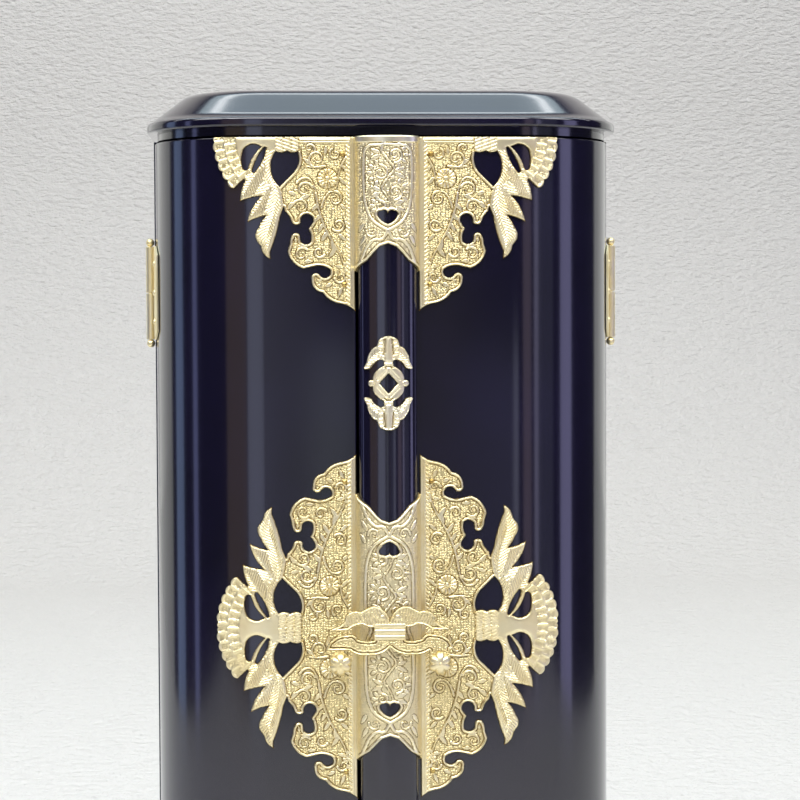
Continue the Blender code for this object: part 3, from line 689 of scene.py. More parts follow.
def arcs(nodes: Sequence[tuple], step: float = 0.4) -> Points:
    """Draws a closed outline of (run, drop, bulge) nodes.

    Args:
        nodes: The corners. A bulge is the height of the arc to the next one, as a share of its
            chord, and is positive to the left of the way there.
        step: The longest spacing of points, in millimetres.

    Returns:
        Its points, one row each.
    """
    points = []
    for (x, y, bulge), (next_x, next_y, _) in zip(nodes, list(nodes[1:]) + [nodes[0]]):
        start = np.array((x, y), float)
        chord = np.array((next_x, next_y), float) - start
        length = float(np.hypot(*chord))
        half_turn = 2 * math.atan(2 * abs(bulge))
        count = max(1, math.ceil(length * (1 + 2 * abs(bulge)) / step))
        shares = np.arange(count) / count
        if half_turn < 0.02:
            points += list(start + shares[:, None] * chord)
            continue
        radius = length / 2 / math.sin(half_turn)
        forward = chord / length
        outward = np.array((-forward[1], forward[0])) * math.copysign(1, bulge)
        centre = start + chord / 2 - outward * radius * math.cos(half_turn)
        turns = half_turn * (2 * shares - 1)
        spokes = np.outer(np.sin(turns), forward) + np.outer(np.cos(turns), outward)
        points += list(centre + radius * spokes)
    return np.array(points)


def smooth_line(nodes: Sequence[tuple], step: float = 0.5) -> Points:
    """A curve through the nodes, with a point at about every step.

    Args:
        nodes: Points to pass through.
        step: Spacing in millimetres.

    Returns:
        Its points.
    """
    rough = np.array(nodes, float)
    padded = np.vstack((2 * rough[0] - rough[1], rough, 2 * rough[-1] - rough[-2]))
    points = []
    for i in range(len(rough) - 1):
        before, start, end, after = padded[i:i + 4]
        count = max(2, math.ceil(float(np.hypot(*(end - start))) / step))
        t = np.linspace(0, 1, count, endpoint=False)[:, None]
        bend = (2 * before - 5 * start + 4 * end - after) * t**2
        twist = (3 * start - before - 3 * end + after) * t**3
        points.append(0.5 * (2 * start + (end - before) * t + bend + twist))
    return np.vstack(points + [rough[-1:]])


def curl(centre: tuple, radius: float, start_deg: float, turn_deg: float, inner: float = 0.25) -> Points:
    """A tendril that winds in towards its centre.

    Args:
        centre: Its middle.
        radius: Its reach where it starts.
        start_deg: The direction of its start from the middle.
        turn_deg: How far it turns, anticlockwise if positive.
        inner: The share of its reach that is left at its end.

    Returns:
        Its points.
    """
    share = np.linspace(0, 1, max(8, round(abs(turn_deg) / 18)))
    angle = np.radians(start_deg + turn_deg * share)
    reach = radius * (1 - (1 - inner) * share)
    return np.column_stack((centre[0] + reach * np.cos(angle), centre[1] + reach * np.sin(angle)))


def turned_over(line: Points, run: int = 1, drop: int = 1) -> Points:
    """The drawing mirrored in its run, its drop or both."""
    return line * np.array((run, drop))


def nearest(points: Points, line: Points, closed: bool = False) -> tuple[Points, Points]:
    """Measures points against a line.

    Args:
        points: The points.
        line: The line's points.
        closed: Whether its end joins its start.

    Returns:
        For each point its distance, and how far along the line its nearest point is.
    """
    ends = np.roll(line, -1, axis=0) if closed else line[1:]
    starts = line if closed else line[:-1]
    along = ends - starts
    lengths = np.hypot(along[:, 0], along[:, 1])
    reached = np.concatenate(([0], np.cumsum(lengths)))[:-1]
    best = np.full(len(points), np.inf)
    where = np.zeros(len(points))
    for start, step, length, before in zip(starts, along, lengths, reached):
        if length == 0:
            continue
        away = points - start
        share = np.clip(away @ step / length**2, 0, 1)
        gap = away - share[:, None] * step
        distance = np.hypot(gap[:, 0], gap[:, 1])
        closer = distance < best
        best = np.where(closer, distance, best)
        where = np.where(closer, before + share * length, where)
    return best, where


def within(points: Points, outline: Points) -> Points:
    """Whether points are inside a closed outline.

    Args:
        points: The points.
        outline: The outline's points.

    Returns:
        True or False for each point.
    """
    odd = np.zeros(len(points), bool)
    x, y = points[:, 0], points[:, 1]
    for (ax, ay), (bx, by) in zip(outline, np.roll(outline, -1, axis=0)):
        if ay == by:
            continue
        crossed = ((ay > y) != (by > y)) & (x < ax + (y - ay) / (by - ay) * (bx - ax))
        odd ^= crossed
    return odd


def anticlockwise(outline: Points) -> Points:
    """The outline's points, turned round if they run clockwise."""
    x, y = outline[:, 0], outline[:, 1]
    area = np.sum(x * np.roll(y, -1) - y * np.roll(x, -1))
    return outline if area > 0 else outline[::-1]


@dataclass
class Sheet:
    """A pierced sheet, drawn flat and cut into small triangles."""

    points: Points
    triangles: list
    rims: list
    back: Optional["Sheet"] = None

    @classmethod
    def cut(cls, shapes: Sequence[Points], holes: Sequence[Points], spacing: float) -> "Sheet":
        """Cuts the shapes, joined together and less the holes, with a finer front than back.

        Args:
            shapes: Outlines.
            holes: Outlines of what is cut away.
            spacing: The size of the front's triangles in millimetres.

        Returns:
            The sheet.
        """
        front = cls.one_face(shapes, holes, spacing)
        front.back = cls.one_face(shapes, holes, BACK_SPACING)
        return front

    @classmethod
    def one_face(cls, shapes: Sequence[Points], holes: Sequence[Points], spacing: float) -> "Sheet":
        """Cuts one face into triangles.

        Args:
            shapes: Outlines.
            holes: Outlines of what is cut away.
            spacing: The triangles' size in millimetres.

        Returns:
            The face.
        """
        outlines = [anticlockwise(outline) for outline in list(shapes) + list(holes)]
        everything = np.vstack(outlines)
        low = everything.min(axis=0)
        high = everything.max(axis=0)
        row = spacing * math.sqrt(3) / 2
        grid = []
        for i in range(math.ceil((high[1] - low[1]) / row)):
            xs = np.arange(low[0] + (i % 2) * spacing / 2, high[0], spacing)
            grid.append(np.column_stack((xs, np.full(len(xs), low[1] + i * row))))
        inner = np.vstack(grid)
        inside = np.zeros(len(inner), bool)
        for shape in shapes:
            inside |= within(inner, shape)
        for hole in holes:
            inside &= ~within(inner, hole)
        inner = inner[inside]
        for outline in outlines:
            inner = inner[nearest(inner, outline, closed=True)[0] > min(spacing * 0.55, OUTLINE_GAP)]
        faces: list = []
        for outline in outlines:
            first = faces[-1][-1] + 1 if faces else 0
            faces.append(list(range(first, first + len(outline))))
        vectors = [Vector(point) for point in np.vstack((everything, inner))]
        found = delaunay_2d_cdt(vectors, [], faces, 0, 0.01, True)
        kept = [
            face
            for face, owners in zip(found[2], found[5])
            if owners and all(owner < len(shapes) for owner in owners)
        ]
        points = np.array([tuple(point) for point in found[0]])
        used = sorted({i for face in kept for i in face})
        order = {i: n for n, i in enumerate(used)}
        points = points[used]
        triangles = [tuple(order[i] for i in face) for face in kept]
        sides = {side for face in triangles for side in zip(face, face[1:] + face[:1])}
        rims = sorted(side for side in sides if side[::-1] not in sides)
        return cls(points, triangles, rims)

    def rim_distance(self, seam: bool = False) -> Points:
        """How far each point is from the sheet's rim.

        Args:
            seam: Whether to leave out the line of symmetry, where another sheet carries on.

        Returns:
            A distance in millimetres, no more than RIM_REACH.
        """
        distance = np.full(len(self.points), RIM_REACH)
        for start, end in self.rims:
            line = self.points[[start, end]]
            if seam and np.allclose(line[:, 1], 0, atol=0.02):
                continue
            close = np.abs(self.points - line.mean(axis=0)).max(axis=1) < RIM_REACH
            distance[close] = np.minimum(distance[close], nearest(self.points[close], line)[0])
        return distance

    def skin(self, heights: Points, place: Place) -> Skin:
        """Stands the sheet up as a closed plate.

        Args:
            heights: The front's height over the back, in metres, at each point.
            place: Takes flat points and heights to places in the frame.

        Returns:
            Points, faces, and each point's relief in millimetres.
        """
        front = place(self.points, heights)
        low = place(self.back.points, np.zeros(len(self.back.points)))
        ends = sorted({i for rim in self.rims for i in rim})
        back_ends = np.array(sorted({i for rim in self.back.rims for i in rim}))
        below = {}
        for i in ends:
            gaps = np.abs(self.back.points[back_ends] - self.points[i]).sum(axis=1)
            below[i] = len(front) + int(back_ends[np.argmin(gaps)])
        faces = list(self.triangles)
        faces += [tuple(len(front) + i for i in reversed(face)) for face in self.back.triangles]
        faces += [(start, below[start], below[end], end) for start, end in self.rims]
        relief = np.concatenate(((heights - PLATE) / MM, np.zeros(len(low))))
        return list(front) + list(low), faces, relief


def bead(distance: Points, width: float, height: float) -> Points:
    """A rounded strip between a distance of 0 and the width."""
    return np.where(distance < width, height * np.sin(np.pi * np.clip(distance / width, 0, 1)), 0)


class Relief:
    """Chased work over a sheet, in millimetres: raised forms, with a groove chased along each cord."""

    groove_depth = 0.15
    groove_width = 0.22
    least_height = 0.03
    edge_width = 0.35
    edge_drop = 0.2

    def __init__(
        self, points: Points, rim: Points, rim_width: float = 1.15, rim_height: float = 0.5
    ) -> None:
        """Starts with a rounded rim and a groove inside it.

        Args:
            points: The sheet's points.
            rim: Their distances to its rim.
            rim_width: The rim's width in millimetres.
            rim_height: The rim's height.
        """
        self.points = points
        self.rim = rim
        self.height = bead(rim, rim_width, rim_height)
        self.valley = np.zeros(len(points))
        self.sink(rim - rim_width - 0.1)

    def sink(self, gap: Points) -> None:
        """Chases a groove where the gap to a form's foot is small."""
        inside = (gap > -0.3) & (gap < 2.5 * self.groove_width)
        depth = self.groove_depth * np.exp(-(((gap - self.groove_width / 2) / self.groove_width) ** 2))
        self.valley = np.where(inside, np.minimum(self.valley, -depth), self.valley)

    def cord(self, line: Points, half_width: float, height: float, taper: float = 0.5) -> None:
        """A rounded ridge along a line, narrower towards its end.

        Args:
            line: Its crest.
            half_width: Half its width where it starts.
            height: Its height there.
            taper: The share of both that is left at its end.
        """
        distance, where = nearest(self.points, line)
        total = float(np.hypot(*np.diff(line, axis=0).T).sum())
        share = 1 - (1 - taper) * where / total
        inside = np.clip(1 - (distance / (half_width * share)) ** 2, 0, 1)
        self.height = np.maximum(self.height, height * share * np.sqrt(inside))
        self.sink(distance - half_width * share)

    def leaf(self, root: tuple, tip: tuple, half_width: float, height: float = 0.42) -> None:
        """A small chased leaf with a sunk midrib.

        Args:
            root: Where it starts.
            tip: Where it ends.
            half_width: Half its width at its widest.
            height: Its height beside the midrib.
        """
        start = np.array(root, float)
        along = np.array(tip, float) - start
        length = float(np.hypot(*along))
        forward = along / length
        away = self.points - start
        share = np.clip(away @ forward / length, 0, 1)
        across = np.abs(away @ np.array((-forward[1], forward[0])))
        width = half_width * np.sin(np.pi * share**0.75) + 1e-6
        beside = (away @ forward > 0) & (away @ forward < length)
        rise = np.clip(1 - (across / width) ** 2, 0, 1) ** 0.5
        shape = height * rise * (1 - 0.6 * np.exp(-((across / 0.25) ** 2)))
        self.height = np.where(beside & (across < width), np.maximum(self.height, shape), self.height)
        self.sink(np.where(beside, across - width, 9.0))

    def rosette(self, centre: tuple, radius: float, petals: int, height: float) -> None:
        """A chrysanthemum: a round boss in a ring of petals.

        Args:
            centre: Its middle.
            radius: Its reach.
            petals: How many petals it has.
            height: Its height.
        """
        away = self.points - np.array(centre)
        reach = np.hypot(away[:, 0], away[:, 1]) / radius
        angle = np.arctan2(away[:, 1], away[:, 0])
        petal = np.abs(np.cos(petals / 2 * angle)) ** 0.8
        ring = petal * np.clip((1 - reach) / 0.15, 0, 1)
        boss = np.sqrt(np.clip(1 - (reach / 0.26) ** 2, 0, 1))
        shape = height * np.where(reach < 0.3, boss, ring) - self.groove_depth * (1 - petal)
        self.height = np.where(reach < 1, shape, self.height)
        self.sink((reach - 1) * radius)

    def put(self, where: Points, height: Union[Points, float]) -> None:
        """Sets the height in one region."""
        self.height = np.where(where, height, self.height)
        self.valley = np.where(where, 0, self.valley)

    def heights(self) -> Points:
        """Heights over the sheet's back in metres, with the edge rounded over."""
        sunk = np.minimum(self.valley, self.height)
        shape = np.where(self.height > self.least_height, self.height, sunk)
        edge = np.clip(self.rim / self.edge_width, 0, 1)
        return PLATE + (shape * edge - self.edge_drop * (1 - edge)) * MM


# The openwork fitting's drawing, in millimetres

FAN_CENTRE = (27.6, 0.0)
FAN_INNER = 21.8
FAN_OUTER = 31.8
FAN_HALF_ANGLE = math.radians(43)
FAN_PETALS = 11
FAN_ROW = 27.4
COLLAR_IN = 23.9
COLLAR_OUT = 33.1
COLLAR_DROP = 6.0
COLLAR_LAP = 0.4

SCROLL_PLATE = (
    (0, 0, 0),
    (0, 73.7, -0.08),
    (6.4, 70.5, 0.11),
    (13.8, 65.8, 0.2),
    (18.6, 60.3, 0.42),
    (15.0, 58.3, -0.5),
    (10.7, 56.0, -0.12),
    (18.2, 54.9, 0),
    (21.8, 55.7, 0.14),
    (28.6, 48.3, 0),
    (27.6, 45.2, 0.08),
    (26.7, 41.6, 0.3),
    (23.3, 41.6, 0),
    (23.1, 43.9, -0.27),
    (18.7, 44.4, -0.1),
    (19.7, 38.8, 0),
    (17.9, 36.4, -0.75),
    (22.8, 36.2, 0.26),
    (26.7, 36.2, -0.08),
    (29.5, 31.6, 0),
    (32.2, 21.5, 0),
    (26.3, 15.7, -0.14),
    (COLLAR_IN, 6.9, 0),
    (COLLAR_IN, 0, 0),
)
COLLAR = (
    (COLLAR_IN - COLLAR_LAP, 0, 0),
    (COLLAR_IN - COLLAR_LAP, COLLAR_DROP, 0.16),
    ((COLLAR_IN + COLLAR_OUT) / 2, COLLAR_DROP, 0.16),
    (COLLAR_OUT + COLLAR_LAP, COLLAR_DROP, 0),
    (COLLAR_OUT + COLLAR_LAP, 0, 0),
)
FROND = (
    (COLLAR_OUT, 0, 0),
    (COLLAR_OUT, 5.9, -0.19),
    (31.9, 20.9, 0),
    (30.3, 24.5, 0),
    (30.0, 29.5, 0),
    (31.6, 33.6, 0.03),
    (36.0, 48.6, 0),
    (35.8, 51.6, 0.14),
    (39.8, 46.2, 0),
    (41.7, 43.6, 0.14),
    (40.8, 38.5, 0.05),
    (37.6, 33.3, -0.05),
    (45.3, 36.0, 0.08),
    (39.4, 25.0, -0.03),
    (48.3, 27.0, 0.06),
    (46.2, 18.4, 0),
    (49.5, 14.0, 0),
    (50.5, 0, 0),
)
OUTER_EYE = ((39.3, 4.3, -0.08), (45.0, 13.9, 0.25), (47.2, 13.3, 0.08), (46.9, 5.6, 0.17), (41.3, 3.4, 0))
INNER_EYE = ((37.3, 4.8, 0.07), (42.4, 15.3, 0.3), (43.2, 14.0, 0.05), (38.5, 4.9, 0.3))


class QuarterFitting:
    """One quarter of the pierced openwork, with its chased relief."""

    margin = 1.5
    margin_height = 0.22
    line_height = 0.46
    vine_half = 0.55
    vine_height = 0.5
    braid_pitch = 1.7
    rope_pitch = 1.5
    vein_pitch = 1.3
    midribs = (
        ((40.0, 13.5), (44.5, 20.5), (47.6, 25.8)),
        ((36.5, 22.0), (40.5, 29.0), (44.5, 34.8)),
        ((34.2, 6.0), (35.0, 14.0), (33.6, 24.0), (34.6, 33.0), (37.6, 42.5), (36.3, 50.0)),
    )
    ribbon = (
        (33.9, 6.5), (33.6, 13.0), (32.4, 21.0), (31.3, 25.5), (31.0, 29.5), (32.7, 34.0), (36.8, 47.5)
    )
    vines = (
        smooth_line(((1.9, 6.0), (6.0, 13.0), (7.6, 21.0))),
        smooth_line(((16.5, 24.0), (15.2, 31.0), (12.6, 38.5), (9.4, 44.5), (5.8, 51.0), (3.2, 60.0))),
        smooth_line(((24.6, 19.6), (22.4, 17.6), (19.6, 17.6), (17.4, 20.4), (16.5, 24.0))),
        curl((21.2, 22.4), 3.4, 200, 400),
        smooth_line(((14.2, 30.0), (13.0, 26.4), (10.9, 23.6), (8.2, 23.0))),
        curl((8.4, 26.2), 3.2, -90, -380),
        curl((7.0, 37.2), 3.0, 40, 400),
        curl((22.8, 29.6), 3.4, -20, -380),
        curl((15.2, 48.6), 2.6, 150, -360),
        curl((22.6, 49.6), 3.0, 220, 380),
        curl((6.2, 59.4), 2.6, 10, 380),
        curl((15.9, 9.4), 3.8, 60, -400),
        curl((19.0, 5.0), 2.2, 160, 330),
        curl((8.2, 7.4), 2.6, -60, 360),
        smooth_line(((12.4, 12.4), (17.0, 12.9), (21.4, 12.4))),
    )
    leaves = (
        ((15.6, 28.0), (18.6, 31.8), 0.9),
        ((14.4, 32.6), (17.0, 36.0), 0.9),
        ((13.4, 36.4), (15.6, 40.6), 0.9),
        ((11.6, 40.0), (14.6, 44.6), 1.0),
        ((10.0, 43.4), (8.8, 49.4), 0.9),
        ((8.0, 47.0), (11.4, 51.4), 1.0),
        ((4.6, 53.0), (2.6, 56.6), 0.8),
        ((3.4, 58.0), (3.0, 66.0), 0.9),
        ((5.0, 55.0), (9.0, 54.4), 0.8),
        ((19.0, 24.6), (23.8, 26.6), 0.9),
        ((24.8, 24.4), (28.6, 23.2), 0.9),
        ((26.0, 27.4), (28.6, 31.0), 0.9),
        ((20.2, 47.2), (24.6, 45.6), 0.8),
        ((21.6, 52.6), (17.6, 52.6), 0.8),
        ((25.0, 44.6), (25.2, 42.4), 0.6),
        ((6.2, 28.8), (3.0, 31.0), 0.8),
        ((4.4, 34.4), (2.6, 38.8), 0.8),
        ((7.0, 41.0), (3.2, 44.4), 0.8),
        ((5.2, 12.0), (2.6, 16.0), 0.8),
        ((6.8, 17.0), (3.0, 21.0), 0.8),
        ((18.8, 11.6), (22.0, 9.0), 0.8),
        ((12.6, 7.8), (12.0, 3.2), 0.8),
        ((9.8, 61.8), (13.0, 63.6), 0.9),
        ((14.2, 60.8), (16.4, 60.4), 0.6),
        ((5.6, 63.4), (7.4, 68.0), 0.8),
    )

    def __init__(self) -> None:
        """Draws and cuts the quarter."""
        self.shapes = [arcs(SCROLL_PLATE), arcs(COLLAR), arcs(FROND), self.fan()]
        self.holes = [arcs(OUTER_EYE), arcs(INNER_EYE)]
        self.sheet = Sheet.cut(self.shapes, self.holes, SPACING)

    def fan(self) -> Points:
        """Half of the scalloped fan."""
        petal = 2 * FAN_HALF_ANGLE / FAN_PETALS
        turns = [0.0] + [petal * (step + 0.5) for step in range((FAN_PETALS + 1) // 2)]
        nodes = [(FAN_CENTRE[0] + FAN_OUTER * math.cos(t), FAN_OUTER * math.sin(t), -0.24) for t in turns]
        nodes[-1] = (*nodes[-1][:2], 0)
        half = petal * (FAN_PETALS / 2)
        bow = math.tan(half / 4) / 2
        nodes.append((FAN_CENTRE[0] + FAN_INNER * math.cos(half), FAN_INNER * math.sin(half), bow))
        nodes.append((FAN_CENTRE[0] + FAN_INNER, 0, 0))
        return arcs(nodes)

    def relief(self, top_margin: bool) -> Points:
        """The chased relief over the sheet's face.

        Args:
            top_margin: Whether the line of symmetry is a real edge, with a plain margin.

        Returns:
            Heights in metres at each of the sheet's points.
        """
        points = self.sheet.points
        run, drop = points[:, 0], points[:, 1]
        relief = Relief(points, self.sheet.rim_distance(seam=not top_margin))
        for line in self.vines:
            relief.cord(line, self.vine_half, self.vine_height)
        for root, tip, half_width in self.leaves:
            relief.leaf(root, tip, half_width)
        relief.rosette((11.6, 17.7), 4.3, 14, 0.52)
        relief.rosette((4.6, 56.4), 2.0, 8, 0.4)
        braid = 0.26 + 0.24 * np.cos(2 * np.pi * (drop + 0.8 * run) / self.braid_pitch)
        relief.put((run > self.margin + 0.9) & (run < self.margin + 2.2), braid)
        relief.put(run < self.margin, self.margin_height)
        relief.put(np.abs(run - self.margin - 0.4) < 0.4, self.line_height)
        if top_margin:
            inner = (run > self.margin + 0.4) & (run < COLLAR_IN - COLLAR_LAP)
            relief.put(inner & (drop < 1.0), self.margin_height)
            for start in (1.0, 2.1):
                relief.put(inner & (drop > start) & (drop < start + 0.6), self.line_height)
        self.frond(relief)
        self.fan_cells(relief)
        in_collar = within(points, self.shapes[1])
        reed = (COLLAR_OUT - COLLAR_IN + 2 * COLLAR_LAP) / 3
        across = (run - COLLAR_IN + COLLAR_LAP) % reed / reed * 2 - 1
        twist = np.cos(2 * np.pi * (drop + 0.35 * run) / self.rope_pitch)
        round_reed = 0.56 * np.sqrt(np.clip(1 - across**2, 0, 1)) + 0.14 * twist
        relief.put(in_collar, round_reed - 0.05)
        return relief.heights()

    def frond(self, relief: Relief) -> None:
        """Leaves with slanting veins, and a smooth ribbon along their inner side."""
        points, rim = relief.points, relief.rim
        in_frond = within(points, self.shapes[2]) & ~within(points, self.shapes[0])
        best = np.full(len(points), np.inf)
        veins = np.zeros(len(points))
        for nodes in self.midribs:
            distance, where = nearest(points, smooth_line(nodes))
            closer = distance < best
            best = np.where(closer, distance, best)
            slant = np.cos(2 * np.pi * (where - 0.9 * distance) / self.vein_pitch)
            veins = np.where(closer, slant, veins)
        pillow = 0.42 * np.clip(rim / 1.8, 0, 1) ** 0.6
        carved = pillow + 0.22 * veins * np.clip((rim - 0.5) / 0.5, 0, 1)
        plain = 0.5 * np.clip(rim / 1.6, 0, 1) ** 0.5
        relief.put(in_frond, np.where((best < 5.0) & (points[:, 1] > 5.5), carved, plain))
        for nodes in self.midribs[:2]:
            relief.cord(smooth_line(nodes), 0.5, 0.62)
        relief.cord(smooth_line(self.ribbon), 0.8, 0.66, 0.7)

    def fan_cells(self, relief: Relief) -> None:
        """Two rows of dished cells round the fan, with raised ridges between them."""
        away = relief.points - np.array(FAN_CENTRE)
        reach = np.hypot(away[:, 0], away[:, 1])
        turn = np.arctan2(away[:, 1], away[:, 0])
        petal = 2 * FAN_HALF_ANGLE / FAN_PETALS
        outer = reach > FAN_ROW
        across = np.abs((turn / petal + np.where(outer, 0.5, 0.0)) % 1 - 0.5) * 2
        low = np.where(outer, FAN_ROW, FAN_INNER)
        high = np.where(outer, FAN_OUTER, FAN_ROW)
        along = np.abs((reach - low) / (high - low) * 2 - 1)
        cell = 0.1 + np.maximum(0.5 * across**5, 0.34 * np.clip(along, 0, 1) ** 9)
        in_fan = within(relief.points, self.shapes[3])
        relief.put(in_fan & (reach > FAN_INNER), cell)
        relief.put(in_fan & (reach < FAN_INNER + 0.7), 0.5)


@dataclass
class DoorFittings:
    """The three openwork fittings of each door and their nails."""

    quarter: QuarterFitting
    shop: Workshop
    nail_radius: float = 1.15 * MM
    corner_nails: tuple = ((5.2, 7.4), (4.6, 62.4))
    middle_nails: tuple = ((5.0, 62.0), (5.0, -62.0))

    def place(self, side: int, level: float, way: int) -> Place:
        """Wraps the drawing onto a door.

        Args:
            side: 1 for the right door, -1 for the left.
            level: Where its line of symmetry is.
            way: 1 if the drop runs upwards.

        Returns:
            The function that places points.
        """

        def placed(points: Points, height: Points) -> Points:
            """Places flat points at heights over the door."""
            run = side * (FITTING_START + points[:, 0] * MM)
            x, y = CABINET.at(run, JOIN_GAP + height)
            return np.column_stack((x, y, level + way * points[:, 1] * MM))

        return placed

    def build(self) -> None:
        """Builds both doors' fittings."""
        corner = self.quarter.relief(True)
        middle = self.quarter.relief(False)
        for word, side, body in SIDES:
            for end, level, way in ENDS:
                skins = [self.skin(corner, side, level, way)]
                chased_piece(f"fitting_{word}_{end}", skins, self.shop.gilt, body)
                place = self.place(side, level, way)
                self.nails(f"nails_{word}_{end}", self.corner_nails, place, body)
            halves = [self.skin(middle, side, DOOR_MIDDLE, way) for way in (1, -1)]
            chased_piece(f"fitting_{word}_middle", halves, self.shop.gilt, body)
            place = self.place(side, DOOR_MIDDLE, 1)
            self.nails(f"nails_{word}_middle", self.middle_nails, place, body)

    def skin(self, heights: Points, side: int, level: float, way: int) -> Skin:
        """Stands one quarter up on a door.

        Args:
            heights: Its relief.
            side: 1 for the right door, -1 for the left.
            level: Where its line of symmetry is.
            way: 1 if the drop runs upwards.

        Returns:
            Points, faces that look outwards, and relief.
        """
        points, faces, relief = self.quarter.sheet.skin(heights, self.place(side, level, way))
        return points, flipped(faces, side * way > 0), relief

    def nails(self, name: str, spots: Sequence[tuple], place: Place, body: Body) -> None:
        """Round-headed nails through a fitting.

        Args:
            name: The piece's name.
            spots: Where they are in the drawing.
            place: Wraps the drawing onto the door.
            body: The body that they ride on.
        """
        points: list = []
        faces: list = []
        for spot in spots:
            centre = np.array(spot)[None, :]
            foot = place(centre, np.array([PLATE]))[0]
            lifted = place(centre, np.array([PLATE + MM]))[0]
            add_dome(points, faces, foot, lifted - foot, self.nail_radius)
        make_piece(name, points, faces, self.shop.nail, body)


DOME = ((1.0, -0.3), (1.0, 0.12), (0.9, 0.42), (0.7, 0.68), (0.4, 0.88), (0.12, 0.99))
DOME_SIDES = 20


def add_dome(
    points: list, faces: list, foot: Points, normal: Points, radius: float, rise: float = 0.75
) -> None:
    """Adds a nail's domed head to a growing skin.

    Args:
        points: The skin's points.
        faces: The skin's faces.
        foot: The middle of its underside.
        normal: The way that it faces.
        radius: Its radius.
        rise: Its height as a share of its radius.
    """
    out = Vector(normal).normalized()
    side = out.orthogonal().normalized()
    up = out.cross(side)
    rings = [
        [
            Vector(foot) + (side * a + up * b) * radius * reach + out * radius * rise * height
            for a, b in circle(DOME_SIDES)
        ]
        for reach, height in DOME
    ]
    add_skin(points, faces, *stacked(rings))


# Fittings on the batten

BATTEN_EDGE = ((0, 45.4), (2.4, 46.6), (3.6, 48.2), (6.4, 52.4), (10.9, 56.2))
BATTEN_EDGE_HALF = 12.3
BATTEN_DROP = 57.3
HEART = (
    (0, 37.1, 0.12),
    (4.1, 33.4, 0.3),
    (2.6, 31.7, 0.3),
    (0, 32.8, 0.3),
    (-2.6, 31.7, 0.3),
    (-4.1, 33.4, 0.12),
)


ORNAMENT_LAP = 0.25
ORNAMENT_QUARTER = (
    (0, 19.9, 0.0),
    (0, 4.3, 0.0),
    (3.7, 0, 0.0),
    (6.6, 0, 0.0),
    (6.5, 2.0, -0.1),
    (5.1, 5.1, -0.05),
    (2.1, 7.4, 0.0),
    (1.9, 9.2, 0.2),
    (3.6, 9.8, 0.1),
    (6.8, 6.8, -0.1),
    (8.9, 5.9, -0.2),
    (10.4, 6.5, 0.0),
    (8.9, 9.2, -0.08),
    (7.4, 13.4, -0.12),
    (4.9, 15.6, 0.0),
    (4.4, 17.0, -0.15),
    (2.5, 19.2, -0.1),
)
BALL_RUN = 7.0
BALL_RADIUS = 1.5


